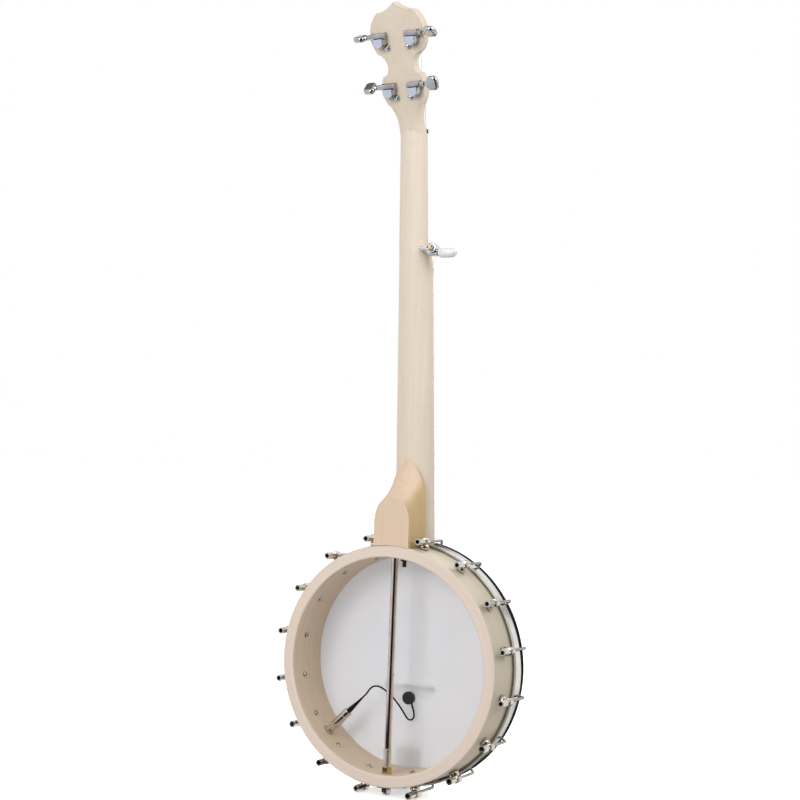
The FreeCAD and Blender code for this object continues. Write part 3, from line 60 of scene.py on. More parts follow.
# ---------------------------------------------------------------- material kit

class Tree:
    """A material's node tree, with short calls for the nodes used here."""

    def __init__(self, name):
        self.material = bpy.data.materials.new(name)
        self.material.use_nodes = True
        self.nodes = self.material.node_tree.nodes
        self.links = self.material.node_tree.links
        self.shader = self.nodes["Principled BSDF"]
        self.place = self.node("ShaderNodeTexCoord").outputs["Object"]

    def node(self, kind, **settings):
        made = self.nodes.new(kind)
        for key, value in settings.items():
            setattr(made, key, value)
        return made

    def feed(self, socket, value):
        if isinstance(value, bpy.types.NodeSocket):
            self.links.new(value, socket)
        else:
            socket.default_value = value

    def math(self, operation, first, second=0.0, third=None, clamp=False):
        made = self.node("ShaderNodeMath", operation=operation, use_clamp=clamp)
        self.feed(made.inputs[0], first)
        self.feed(made.inputs[1], second)
        if third is not None:
            self.feed(made.inputs[2], third)
        return made.outputs[0]

    def split(self, vector):
        made = self.node("ShaderNodeSeparateXYZ")
        self.feed(made.inputs[0], vector)
        return made.outputs[0], made.outputs[1], made.outputs[2]

    def join(self, x, y, z):
        made = self.node("ShaderNodeCombineXYZ")
        for socket, value in zip(made.inputs, (x, y, z)):
            self.feed(socket, value)
        return made.outputs[0]

    def scaled(self, vector, scale):
        made = self.node("ShaderNodeVectorMath", operation="MULTIPLY")
        self.feed(made.inputs[0], vector)
        made.inputs[1].default_value = scale
        return made.outputs[0]

    def noise(self, vector, scale=1.0, detail=2.0, rough=0.5, distortion=0.0, w=None):
        made = self.node("ShaderNodeTexNoise", noise_dimensions="3D" if w is None else "4D")
        self.feed(made.inputs["Vector"], vector)
        if w is not None:
            self.feed(made.inputs["W"], w)
        made.inputs["Scale"].default_value = scale
        made.inputs["Detail"].default_value = detail
        made.inputs["Roughness"].default_value = rough
        made.inputs["Distortion"].default_value = distortion
        return made.outputs["Fac"]

    def spread(self, value, low, high, to_low=0.0, to_high=1.0):
        made = self.node("ShaderNodeMapRange", clamp=True)
        self.feed(made.inputs["Value"], value)
        made.inputs["From Min"].default_value = low
        made.inputs["From Max"].default_value = high
        made.inputs["To Min"].default_value = to_low
        made.inputs["To Max"].default_value = to_high
        return made.outputs["Result"]

    def mix(self, share, first, second):
        made = self.node("ShaderNodeMix", data_type="RGBA", blend_type="MIX")
        self.feed(made.inputs[0], share)
        for socket, value in ((made.inputs[6], first), (made.inputs[7], second)):
            if isinstance(value, bpy.types.NodeSocket):
                self.links.new(value, socket)
            else:
                socket.default_value = (*value, 1.0)
        return made.outputs[2]

    def bump(self, height, distance, strength=1.0, rounding=None):
        made = self.node("ShaderNodeBump")
        made.inputs["Strength"].default_value = strength
        made.inputs["Distance"].default_value = distance
        self.feed(made.inputs["Height"], height)
        if rounding:
            soft = self.node("ShaderNodeBevel", samples=3)
            self.feed(soft.inputs["Radius"], rounding)
            self.links.new(soft.outputs[0], made.inputs["Normal"])
        self.links.new(made.outputs[0], self.shader.inputs["Normal"])

    def facing(self, axis):
        """How far the true surface normal points along an axis, 0 to 2 for X to Z."""
        geometry = self.node("ShaderNodeNewGeometry")
        return self.split(geometry.outputs["True Normal"])[axis]

    def blend_shader(self, share, other):
        """Mix another shader over the main one at the material's output."""
        both = self.node("ShaderNodeMixShader")
        self.feed(both.inputs[0], share)
        self.links.new(self.shader.outputs[0], both.inputs[1])
        self.links.new(other.outputs[0], both.inputs[2])
        output = next(node for node in self.nodes if node.type == "OUTPUT_MATERIAL")
        self.links.new(both.outputs[0], output.inputs["Surface"])

    def colour(self, value):
        self.feed(self.shader.inputs["Base Color"], value)

    def rough(self, value):
        self.feed(self.shader.inputs["Roughness"], value)

    def set(self, **values):
        for name, value in values.items():
            self.shader.inputs[name.replace("_", " ")].default_value = value


# The rim's radii and the thickness of one ply.
RIM_BORE = 0.127
RIM_MIDDLE = 0.133
RIM_OUTSIDE = 0.1412
PLY = 0.00355
# Edges are shaded as if rounded by this much. The neck's edge softens in only above the heel.
EDGE_ROUNDING = 0.0006
HEEL_TOP = (0.27, 0.30)


def straight_grain(tree):
    """Grain space of a plank that runs up the neck: every layer stretches along Z."""
    def layer(across, along):
        return tree.scaled(tree.place, (across, across, along)), None
    return layer, None


def ring_grain(tree):
    """Grain space of a bent ring about Y, with no seam: a turn is a circle in the noise."""
    x, y, z = tree.split(tree.place)
    square = tree.math("ADD", tree.math("MULTIPLY", x, x), tree.math("MULTIPLY", z, z))
    radius = tree.math("SQRT", square)
    sine = tree.math("DIVIDE", x, radius)
    cosine = tree.math("DIVIDE", z, radius)

    def layer(across, along):
        turn = along * RIM_MIDDLE
        vector = tree.join(
            tree.math("MULTIPLY", sine, turn), tree.math("MULTIPLY", cosine, turn),
            tree.math("MULTIPLY", radius, across))
        return vector, tree.math("MULTIPLY", y, across)
    return layer, radius


def wood(name, light, dark, grain_space=straight_grain, contrast=1.0, side=None,
         fleck=(0.55, 0.40, 0.25), rounding=EDGE_ROUNDING, walls=None, streaks=0.0):
    """Satin wood: broad tone, growth lines, fine fibres and short flecks along the grain.

    side colours the faces that look along X. walls colours the bore and the outside of a bent ring,
    whose edge shows its plies; the bore's darker colour is painted shade inside the pot. rounding
    is a shaded edge radius, or "above the heel" for the neck.
    """
    tree = Tree(name)
    layer, radius = grain_space(tree)

    def grain(across, along, detail, distortion=0.0):
        vector, w = layer(across, along)
        return tree.noise(vector, 1.0, detail, 0.55, distortion, w)

    tone = grain(16, 2.2, 2)
    figure = grain(170, 5.0, 4, 0.4)
    fibre = grain(1500, 42, 2)
    flecks = tree.spread(grain(1000, 120, 1), 0.64, 0.76)
    share = tree.math("MULTIPLY", tree.spread(tone, 0.3, 0.7), 0.45 * contrast)
    share = tree.math("MULTIPLY_ADD", tree.spread(figure, 0.35, 0.7), 0.45 * contrast, share)
    share = tree.math("MULTIPLY_ADD", tree.spread(fibre, 0.3, 0.7), 0.30 * contrast, share,
                      clamp=True)
    colour = tree.mix(share, light, dark)
    colour = tree.mix(tree.math("MULTIPLY", flecks, 0.28 * contrast), colour, fleck)
    if walls is not None:
        depth = tree.math("DIVIDE", tree.math("SUBTRACT", radius, RIM_BORE), PLY)
        place = tree.math("ABSOLUTE", tree.math("SUBTRACT", tree.math("FRACT", depth), 0.5))
        line = tree.spread(place, 0.465, 0.495)
        each = tree.math("FRACT", tree.math("MULTIPLY", tree.math("FLOOR", depth), 0.37))
        colour = tree.mix(tree.math("MULTIPLY", each, 0.16), colour, dark)
        colour = tree.mix(tree.math("MULTIPLY", line, 0.30), colour, fleck)
        # Painted shade: the bore takes the first walls pair, darker and browner than the ring.
        bore_shade_mask = tree.spread(radius, RIM_BORE + 0.0002, RIM_BORE + 0.0008, 1.0, 0.0)
        outside = tree.spread(radius, RIM_OUTSIDE - 0.0010, RIM_OUTSIDE - 0.0004)
        colour = tree.mix(bore_shade_mask, colour, tree.mix(share, *walls[0]))
        colour = tree.mix(outside, colour, tree.mix(share, *walls[1]))
    if streaks:
        pores = tree.spread(grain(900, 14, 2), 0.66, 0.72)
        colour = tree.mix(tree.math("MULTIPLY", pores, streaks), colour, fleck)
    if side is not None:
        across = tree.math("ABSOLUTE", tree.facing(0))
        colour = tree.mix(tree.spread(across, 0.55, 0.9), colour, tree.mix(share, *side))
    tree.colour(colour)
    tree.rough(tree.spread(fibre, 0.3, 0.7, 0.44, 0.56))
    tree.set(Specular_IOR_Level=0.35, Coat_Weight=0.06, Coat_Roughness=0.35)
    if rounding == "above the heel":
        rounding = tree.spread(tree.split(tree.place)[2], *HEEL_TOP, 0.0, EDGE_ROUNDING)
    tree.bump(tree.math("ADD", fibre, tree.math("MULTIPLY", figure, 0.6)), 0.00004, 0.5, rounding)
    return tree.material


METAL_GRAIN_DEPTH = 0.00001


def metal(name, colour, tint, rough, ripple, spots, rounding=0.0003, bow=None, painted_shade_reach=0.0):
    """Plated metal: cloudy tint, uneven polish, hairline scratches, dull specks and painted shade.

    bow is (start, end, slope): between those Y places the face leans by up to the slope, and faces
    that look along +Y are brushed. The last argument is how far from other faces the metal is
    darkened with painted shade.
    """
    tree = Tree(name)
    cloud = tree.noise(tree.place, 90.0, 3)
    fine = tree.noise(tree.place, 900.0, 3, 0.6)
    scratch = tree.noise(tree.scaled(tree.place, (400.0, 3200.0, 3200.0)), 1.0, 2, 0.6, 0.8)
    scratches = tree.spread(scratch, 0.62, 0.72)
    surface = tree.mix(tree.spread(cloud, 0.35, 0.7), colour, tint)
    specks = tree.spread(tree.noise(tree.place, 420.0, 2), 0.60, 0.78)
    dull = tree.math("MULTIPLY", specks, spots)
    surface = tree.mix(dull, surface, [0.45 * part for part in tint])
    # Painted shade: the colour goes nearly black where other faces are close by.
    if painted_shade_reach:
        open_sky = tree.node("ShaderNodeAmbientOcclusion", samples=6)
        open_sky.inputs["Distance"].default_value = painted_shade_reach
        openness = tree.spread(open_sky.outputs["AO"], 0.25, 0.65)
        surface = tree.mix(openness, (0.02, 0.018, 0.016), surface)
    tree.colour(surface)
    wear = tree.math("MULTIPLY", scratches, 0.12)
    polish = tree.math("ADD", tree.spread(fine, 0.3, 0.75, *rough), wear)
    tree.rough(polish)
    tree.set(Metallic=1.0)
    height = tree.math("ADD", fine, tree.math("MULTIPLY", scratches, -0.4))
    if bow is not None:
        brushed = tree.spread(tree.facing(1), 0.6, 0.8)
        tree.feed(tree.shader.inputs["Metallic"], tree.math("MULTIPLY_ADD", brushed, -0.7, 1.0))
        tree.rough(tree.math("MULTIPLY_ADD", brushed, 0.35, polish))
        start, end, slope = bow
        reach = tree.spread(tree.split(tree.place)[1], end, start, start - end, 0.0)
        fall = slope / (2 * (start - end) * METAL_GRAIN_DEPTH * ripple)
        height = tree.math("MULTIPLY_ADD", tree.math("POWER", reach, 2.0), -fall, height)
    tree.bump(height, METAL_GRAIN_DEPTH, ripple, rounding)
    return tree.material


def plastic(name, colour, second, rough=(0.3, 0.45), scale=1600.0, gloss=0.5):
    """Moulded plastic or rubber: faint mottling, a fine moulded grain and uneven gloss."""
    tree = Tree(name)
    cloud = tree.noise(tree.place, 200.0, 3)
    grain = tree.noise(tree.place, scale, 3, 0.6)
    tree.colour(tree.mix(tree.spread(cloud, 0.35, 0.65), colour, second))
    tree.rough(tree.spread(grain, 0.3, 0.7, *rough))
    tree.set(Specular_IOR_Level=gloss)
    tree.bump(grain, 0.00002, 0.6, 0.0003)
    return tree.material


def head_film():
    """Frosted drum film: milky and a little see-through, its coating sprayed on in a fine grain."""
    tree = Tree("head_film")
    cloud = tree.noise(tree.place, 14.0, 3)
    spray = tree.noise(tree.place, 2600.0, 3, 0.65)
    tree.colour(tree.mix(tree.spread(cloud, 0.3, 0.7), (0.85, 0.86, 0.885), (0.80, 0.81, 0.835)))
    tree.rough(tree.spread(spray, 0.3, 0.7, 0.42, 0.6))
    tree.set(Specular_IOR_Level=0.4)
    tree.bump(spray, 0.00002, 0.5)
    glow = tree.node("ShaderNodeBsdfTranslucent")
    glow.inputs["Color"].default_value = (0.78, 0.78, 0.80, 1.0)
    tree.blend_shader(0.4, glow)
    return tree.material


def pearl():
    """Pearl plastic: soft folded clouds of white and grey under a gloss."""
    tree = Tree("pearl")
    fold = tree.noise(tree.place, 260.0, 2, 0.5, 2.2)
    cells = tree.node("ShaderNodeTexVoronoi", feature="SMOOTH_F1")
    cells.inputs["Scale"].default_value = 420.0
    tree.links.new(tree.place, cells.inputs["Vector"])
    spots = tree.math("MULTIPLY", cells.outputs["Distance"], 0.6)
    share = tree.math("MULTIPLY_ADD", fold, 0.7, spots)
    tree.colour(tree.mix(tree.spread(share, 0.35, 0.85), (0.93, 0.92, 0.91), (0.70, 0.69, 0.69)))
    tree.rough(tree.spread(fold, 0.3, 0.7, 0.14, 0.26))
    tree.set(Coat_Weight=0.5, Coat_Roughness=0.08)
    tree.bump(fold, 0.00002, 0.3)
    return tree.material


WRAP_PITCH = 0.00022


def wound_wire():
    """A wrapped string: close turns of wire across a straight core, with painted shade between
    turns.
    """
    tree = Tree("wound_wire")
    z = tree.split(tree.place)[2]
    turn = tree.math("SINE", tree.math("MULTIPLY", z, 2 * math.pi / WRAP_PITCH))
    cloud = tree.noise(tree.place, 300.0, 2)
    # Painted shade: the grooves between the turns are coloured dark brown.
    tree.colour(tree.mix(tree.spread(turn, -1.0, 0.2), (0.20, 0.17, 0.14), (0.68, 0.62, 0.54)))
    tree.rough(tree.spread(cloud, 0.3, 0.7, 0.22, 0.36))
    tree.set(Metallic=1.0)
    tree.bump(turn, 0.00003, 0.6)
    return tree.material


def paint(material, *names):
    for name in names:
        for slot in NODES[name].material_slots:
            slot.material = material


MAPLE = wood("maple", (0.775, 0.690, 0.585), (0.705, 0.600, 0.470), rounding="above the heel")
# The first walls pair, for the bore, is darker as painted shade inside the pot.
RIM_MAPLE = wood("maple_rim", (0.800, 0.700, 0.625), (0.725, 0.610, 0.515), ring_grain,
                 walls=(((0.755, 0.630, 0.500), (0.655, 0.515, 0.370)),
                        ((0.720, 0.655, 0.540), (0.650, 0.580, 0.450))), streaks=0.6,
                 rounding=0.002)
HEEL_MAPLE = wood("maple_heel", (0.765, 0.610, 0.475), (0.690, 0.520, 0.375), contrast=1.2,
                  side=((0.65, 0.48, 0.25), (0.57, 0.40, 0.195)), rounding=None)
BRIDGE_MAPLE = wood("maple_bridge", (0.70, 0.54, 0.37), (0.58, 0.42, 0.27), contrast=1.2)
BLACK_WOOD = wood("dark_hardwood", (0.055, 0.036, 0.028), (0.025, 0.016, 0.012),
                  fleck=(0.10, 0.06, 0.04))
NICKEL = metal("nickel", (0.76, 0.72, 0.67), (0.66, 0.60, 0.53), (0.10, 0.22), 0.6, 0.5,
               painted_shade_reach=0.006)
# The hooks' nickel is a darker copy of the same plating, painted to show dark reflections.
SHADED_HOOK_NICKEL = metal("hook_nickel_painted_dark", (0.50, 0.48, 0.45), (0.36, 0.34, 0.31), (0.10, 0.20), 0.6, 0.5)
# The screws' nickel is a darker copy of the same plating, with painted shade round the heads.
SHADED_SCREW_NICKEL = metal("screw_nickel_painted_shade", (0.62, 0.58, 0.52), (0.46, 0.41, 0.35), (0.06, 0.12), 0.6, 0.5,
                     painted_shade_reach=0.012)
HOOP_CHROME = metal("hoop_chrome", (0.80, 0.79, 0.77), (0.73, 0.71, 0.68), (0.05, 0.12), 0.3, 0.15,
                    rounding=0.0012, bow=(-0.0600, -0.070, 0.5))
ROD_CHROME = metal("rod_chrome", (0.74, 0.70, 0.65), (0.62, 0.56, 0.50), (0.05, 0.12), 0.3, 0.2)
CHROME = metal("chrome", (0.84, 0.85, 0.87), (0.76, 0.77, 0.80), (0.04, 0.10), 0.3, 0.1,
               painted_shade_reach=0.005)
# The housings' chrome is a darker copy of the same chrome, painted to show dark reflections.
SHADED_HOUSING_CHROME = metal("housing_chrome_painted_dark", (0.60, 0.60, 0.61), (0.42, 0.42, 0.43), (0.04, 0.10),
                       0.3, 0.1, painted_shade_reach=0.005)
# The buttons' chrome is a darker copy of the same chrome, painted to show dark reflections.
SHADED_BUTTON_CHROME = metal("button_chrome_painted_dark", (0.62, 0.64, 0.62), (0.48, 0.50, 0.48), (0.04, 0.10),
                      0.3, 0.1)
LID_CHROME = metal("lid_chrome", (0.84, 0.86, 0.90), (0.76, 0.79, 0.85), (0.12, 0.24), 0.5, 0.1)
SATIN_NICKEL = metal("satin_nickel", (0.90, 0.85, 0.79), (0.82, 0.76, 0.69), (0.34, 0.46), 0.6, 0.2)
BRASS = metal("brass", (0.66, 0.50, 0.28), (0.52, 0.37, 0.19), (0.18, 0.32), 0.8, 0.5)
FRET_WIRE = metal("fret_wire", (0.74, 0.72, 0.68), (0.66, 0.63, 0.58), (0.14, 0.26), 0.6, 0.2)
WIRE = metal("string_wire", (0.78, 0.77, 0.75), (0.66, 0.64, 0.61), (0.16, 0.28), 0.5, 0.2,
             rounding=0.0)
BLACK_STEEL = metal("black_steel", (0.07, 0.07, 0.075), (0.04, 0.04, 0.042), (0.28, 0.42),
                    0.8, 0.3)
BLACK = plastic("black_plastic", (0.010, 0.010, 0.011), (0.018, 0.018, 0.019))
DOTS = plastic("dot_plastic", (0.030, 0.024, 0.020), (0.055, 0.045, 0.038))
RUBBER = plastic("black_rubber", (0.004, 0.004, 0.005), (0.008, 0.008, 0.009), (0.42, 0.58),
                 2600.0, gloss=0.2)
PEARL = pearl()
TUNERS = range(1, 5)

paint(MAPLE, "neck")
paint(RIM_MAPLE, "rim")
paint(HEEL_MAPLE, "heel_block")
paint(BRIDGE_MAPLE, "bridge")
paint(BLACK_WOOD, "bridge_cap")
paint(head_film(), "head_membrane")
paint(SHADED_HOOK_NICKEL, "bracket_hooks")
paint(SHADED_SCREW_NICKEL, "shoe_screws")
paint(NICKEL, "bracket_shoes", "bracket_nuts", "tailpiece_hanger",
      "rod_end_bolt", "jack_barrel", "jack_rings", "flesh_hoop")
paint(HOOP_CHROME, "tension_hoop")
paint(SATIN_NICKEL, "tailpiece", "rod_sleeve")
paint(ROD_CHROME, "coordinator_rod")
paint(BRASS, "rod_foot", "fifth_tuner_gear", *[f"tuner_{index}_gear" for index in TUNERS])
paint(BLACK_STEEL, "neck_bolts", "neck_bolt_nut")
paint(FRET_WIRE, "frets")
paint(BLACK, "string_nut", "fifth_string_pip", "pickup_disc")
paint(DOTS, "position_dots")
paint(SHADED_HOUSING_CHROME, "tuner_housings")
paint(SHADED_BUTTON_CHROME, *[f"tuner_{index}_button" for index in TUNERS])
paint(CHROME, "tuner_bushings", "tuner_screws", "fifth_tuner_housing",
      "fifth_tuner_post", "fifth_tuner_worm",
      *[f"tuner_{index}_{part}" for index in TUNERS for part in ("post", "worm")])
paint(LID_CHROME, "tuner_lids", "fifth_tuner_lid")
paint(PEARL, "fifth_tuner_button")


# ---------------------------------------------------------------- pieces made here

def link(piece, material, node):
    """Put a piece in the scene on the root body, in place of a CAD node."""
    bpy.context.scene.collection.objects.link(piece)
    piece.data.materials.append(material)
    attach(piece, "root")
    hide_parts(node)
    return piece


def round_curve(name, radius, bevel_resolution):
    """An empty curve that is drawn as a round rod with closed ends."""
    curve = bpy.data.curves.new(name, "CURVE")
    curve.dimensions = "3D"
    curve.bevel_depth = radius
    curve.bevel_resolution = bevel_resolution
    curve.use_fill_caps = True
    return curve


def add_run(curve, kind, points):
    """Add one spline through the points, or pulled towards them if it is a NURBS one."""
    spline = curve.splines.new(kind)
    spline.points.add(len(points) - 1)
    for target, point in zip(spline.points, points):
        target.co = (*point, 1.0)
    return spline


def helix(centre, axis, start, turns, radius, pitch, steps=28):
    """Points of a helix about an axis, beginning in the start direction."""
    across = start.normalized()
    beside = axis.cross(across)
    points = []
    for index in range(int(turns * steps) + 1):
        angle = 2 * math.pi * index / steps
        climb = pitch * (index / steps - turns / 2)
        points.append(centre + across * radius * math.cos(angle)
                      + beside * radius * math.sin(angle) + axis * climb)
    return points


def turned_mesh(name, origin, axis, profile, steps=40):
    """A closed solid of revolution from (radius, distance along the axis) pairs."""
    mesh = bpy.data.meshes.new(name)
    made = bmesh.new()
    side = axis.orthogonal().normalized()
    beside = axis.cross(side)
    rings = []
    for radius, along in profile:
        ring = []
        for index in range(steps):
            angle = 2 * math.pi * index / steps
            outward = side * math.cos(angle) + beside * math.sin(angle)
            ring.append(made.verts.new(origin + axis * along + outward * radius))
        rings.append(ring)
    for low, high in zip(rings, rings[1:]):
        for index in range(steps):
            following = (index + 1) % steps
            made.faces.new((low[index], low[following], high[following], high[index]))
    made.faces.new(list(reversed(rings[0])))
    made.faces.new(rings[-1])
    bmesh.ops.recalc_face_normals(made, faces=made.faces)
    for face in made.faces:
        face.smooth = len(face.verts) == 4
    made.to_mesh(mesh)
    made.free()
    return bpy.data.objects.new(name, mesh)


# Each string in millimetres: wire radius, end at the tailpiece, bridge saddle, nut notch and post
# centre, with the post's axis and radius.
HEAD_TILT = math.radians(19.6)
HEAD_BACK = Vector((0.0, math.cos(HEAD_TILT), -math.sin(HEAD_TILT)))
TAIL_PIN_Z = -0.108
LOOP_RADIUS = 0.0013
WINDING_GAP = 0.00025
TWIST_GAP = 0.004
TWIST_LENGTH = 0.012
TWIST_TURNS = 14
WOUND_STRING = 3
STRINGS = [
    (0.13, (12.0, -80.1, -106.6), (21.0, -81.8, -30.45), (17.0, -36.402, 637.1),
     (21.0, -20.071, 688.014), HEAD_BACK, 3.0),
    (0.15, (6.0, -80.1, -106.6), (10.5, -81.8, -30.45), (8.6, -36.402, 637.1),
     (25.6, -0.246, 743.69), HEAD_BACK, 3.0),
    (0.18, (0.0, -80.1, -106.6), (0.0, -81.8, -30.45), (0.2, -36.402, 637.1),
     (-16.8, -0.246, 743.69), HEAD_BACK, 3.0),
    (0.27, (-6.0, -80.1, -106.6), (-10.5, -81.8, -30.45), (-8.2, -36.402, 637.1),
     (-12.2, -20.071, 688.014), HEAD_BACK, 3.0),
    (0.13, (-12.0, -80.1, -106.6), (-21.0, -81.8, -30.45), (-16.47, -46.763, 473.0),
     (-26.8, -44.6, 495.7), Vector((0.0, 1.0, 0.0)), 2.5),
]


def instrument_string(index):
    """A string with its wrapped loop at the tailpiece pin and its turns round the post."""
    radius, tail, saddle, notch, post, axis, post_radius = STRINGS[index]
    radius *= MM
    tail, saddle, notch, post = (Vector(point) * MM for point in (tail, saddle, notch, post))
    away = notch - post
    away -= axis * away.dot(axis)
    winding = post_radius * MM + WINDING_GAP + radius
    turns = helix(post, axis, away, 3.0, winding, 2.1 * radius)
    down = (saddle - tail).normalized()
    across = Vector((0.0, 1.0, 0.0)).cross(down).normalized()
    pin = Vector((tail.x, tail.y, TAIL_PIN_Z))
    twist_start = tail + down * TWIST_GAP
    loop = [twist_start]
    for step in range(21):
        angle = math.radians(40 - 260 * step / 20)
        loop.append(pin + (down * math.sin(angle) + across * math.cos(angle)) * LOOP_RADIUS)
    loop.append(twist_start)
    twist = helix(twist_start + down * TWIST_LENGTH / 2, down, across, TWIST_TURNS, 2 * radius,
                  TWIST_LENGTH / TWIST_TURNS, 12)
    curve = round_curve(f"string_{index + 1}_wire", radius, 3)
    for points in ([twist_start, saddle, notch, *turns], loop, twist):
        add_run(curve, "POLY", points)
    piece = bpy.data.objects.new(curve.name, curve)
    if index == WOUND_STRING:
        link(piece, wound_wire(), f"string_{index + 1}")
    else:
        link(piece, WIRE, f"string_{index + 1}")


for string_index in range(len(STRINGS)):
    instrument_string(string_index)

# The points that pull the cable's curve, in millimetres, from the jack's boot to the pickup disc.
CABLE_ROUTE = [
    (46.9, -31.0, -45.7), (41.6, -32.0, -40.5), (36.4, -34.0, -31.2), (29.0, -38.5, -29.6),
    (22.4, -44.5, -35.0), (15.6, -49.5, -42.3), (8.6, -53.8, -52.0), (2.4, -56.6, -61.8),
    (-2.2, -57.8, -68.9), (-6.8, -58.4, -69.5), (-10.1, -58.9, -66.3), (-9.7, -59.5, -61.2),
    (-7.4, -60.1, -54.8), (-4.8, -60.6, -48.9),
]
CABLE_DIAMETER = 0.0020
cable = round_curve("pickup_lead", CABLE_DIAMETER / 2, 5)
cable.resolution_u = 16
cable_run = add_run(cable, "NURBS", [[part * MM for part in point] for point in CABLE_ROUTE])
cable_run.order_u = 3
cable_run.use_endpoint_u = True
lead = link(bpy.data.objects.new("pickup_lead", cable), RUBBER, "pickup_cable")

# The boot: a tapered strain relief with shallow grooves. Distances run from the pot's axis outwards
# along the jack, so the cable leaves at the tip and the jack holds the base.
JACK_TURN = math.radians(134.3)
JACK_OUT = Vector((math.sin(JACK_TURN), 0.0, math.cos(JACK_TURN)))
JACK_AXIS = Vector((0.0, -0.031, 0.0))
BOOT_TIP = 0.0655
BOOT_BASE = 0.0895
BOOT_TIP_RADIUS = 0.0012
BOOT_BASE_RADIUS = 0.0030
GROOVE_DEPTH = 0.0003
GROOVE_PITCH = 0.0019
BOOT_TAPER = 0.0205
profile = [(0.00105, BOOT_TIP), (BOOT_TIP_RADIUS, BOOT_TIP + 0.0004)]
for groove in range(9):
    along = BOOT_TIP + 0.0022 + GROOVE_PITCH * groove
    full = BOOT_TIP_RADIUS + (BOOT_BASE_RADIUS - BOOT_TIP_RADIUS) * (along - BOOT_TIP) / BOOT_TAPER
    profile += [(full - 0.00002, along - 0.0004), (full - GROOVE_DEPTH, along),
                (full - GROOVE_DEPTH, along + 0.0005), (full + 0.00004, along + 0.0009)]
profile += [(BOOT_BASE_RADIUS, BOOT_BASE - 0.0035), (BOOT_BASE_RADIUS, BOOT_BASE - 0.0004),
            (0.0026, BOOT_BASE - 0.00004)]
boot = link(turned_mesh("jack_strain_relief", JACK_AXIS, JACK_OUT, profile), RUBBER,
            "jack_boot")


# ---------------------------------------------------------------- stage, light and camera

LOWEST = min(cad_bounds[0][2], cad_bounds[1][2])
FLOOR_GAP = 0.0002
FLOOR_HALF = 40.0
RING_BLEND = 0.12

# Painted reflections, seen only by glossy rays: what polished metal mirrors, by compass direction.
# 0 and 1 are the strings' side (-Y), 0.25 the fifth-string side (-X), 0.5 behind (+Y) and 0.75 the
# treble side (+X). LOW, MIDDLE and HIGH are rings of the surroundings; NEAR and FLOOR are the floor
# close to the pot and farther out.
LOW_MIRROR = [
    (0.00, (0.02, 0.02, 0.02)), (0.045, (0.02, 0.02, 0.02)), (0.06, (0.95, 0.95, 0.95)),
    (0.17, (0.95, 0.93, 0.90)), (0.20, (0.46, 0.39, 0.33)), (0.32, (0.40, 0.33, 0.28)),
    (0.335, (0.008, 0.006, 0.005)), (0.505, (0.008, 0.006, 0.005)), (0.525, (0.50, 0.46, 0.42)),
    (0.56, (0.72, 0.68, 0.70)), (0.64, (0.80, 0.76, 0.78)), (0.69, (0.98, 0.96, 0.93)),
    (0.91, (0.95, 0.95, 0.95)), (0.935, (0.02, 0.02, 0.02)), (1.00, (0.02, 0.02, 0.02)),
]
# The floor's ring is the low one, but bluer from behind round to the treble side.
BLUER = {0.56: (0.64, 0.67, 0.76), 0.64: (0.68, 0.71, 0.80)}
FLOOR_MIRROR = [(turn, BLUER.get(turn, colour)) for turn, colour in LOW_MIRROR]
NEAR_MIRROR = [
    (0.00, (0.015, 0.015, 0.015)), (0.080, (0.015, 0.015, 0.015)), (0.094, (0.92, 0.92, 0.91)),
    (0.18, (0.90, 0.88, 0.85)), (0.22, (0.42, 0.36, 0.31)), (0.32, (0.36, 0.30, 0.26)),
    (0.34, (0.01, 0.01, 0.01)), (0.66, (0.035, 0.025, 0.04)), (0.70, (0.85, 0.83, 0.80)),
    (0.91, (0.95, 0.95, 0.95)), (0.935, (0.015, 0.015, 0.015)), (1.00, (0.015, 0.015, 0.015)),
]
MIDDLE_MIRROR = [
    (0.00, (0.95, 0.95, 0.95)), (0.20, (0.90, 0.88, 0.85)), (0.26, (0.35, 0.31, 0.28)),
    (0.34, (0.02, 0.02, 0.02)), (0.49, (0.02, 0.02, 0.02)), (0.55, (0.75, 0.77, 0.82)),
    (0.80, (0.98, 0.98, 0.98)), (1.00, (0.95, 0.95, 0.95)),
]
HIGH_MIRROR = [
    (0.00, (0.45, 0.45, 0.46)), (0.08, (0.80, 0.80, 0.80)), (0.30, (0.95, 0.95, 0.95)),
    (0.68, (0.95, 0.95, 0.95)), (0.74, (0.075, 0.085, 0.045)), (0.96, (0.075, 0.085, 0.045)),
    (1.00, (0.45, 0.45, 0.46)),
]


def colour_ring(tree, share, stops):
    """One ring of colours, read at a share of the full turn."""
    ring = tree.node("ShaderNodeValToRGB")
    elements = ring.color_ramp.elements
    elements[0].color = (*stops[0][1], 1.0)
    elements[1].color = (*stops[-1][1], 1.0)
    for position, value in stops[1:-1]:
        elements.new(position).color = (*value, 1.0)
    tree.feed(ring.inputs[0], share)
    return ring.outputs[0]


def mirrored(tree, stops, higher=()):
    """The painted reflection that metal sees in a direction; higher adds (height, stops) rings
    above.
    """
    x, y, z = tree.split(tree.place)
    share = tree.spread(tree.math("ARCTAN2", x, y), -math.pi, math.pi)
    result = colour_ring(tree, share, stops)
    for height, upper_stops in higher:
        step = tree.spread(z, height, height + RING_BLEND)
        result = tree.mix(step, result, colour_ring(tree, share, upper_stops))
    return result


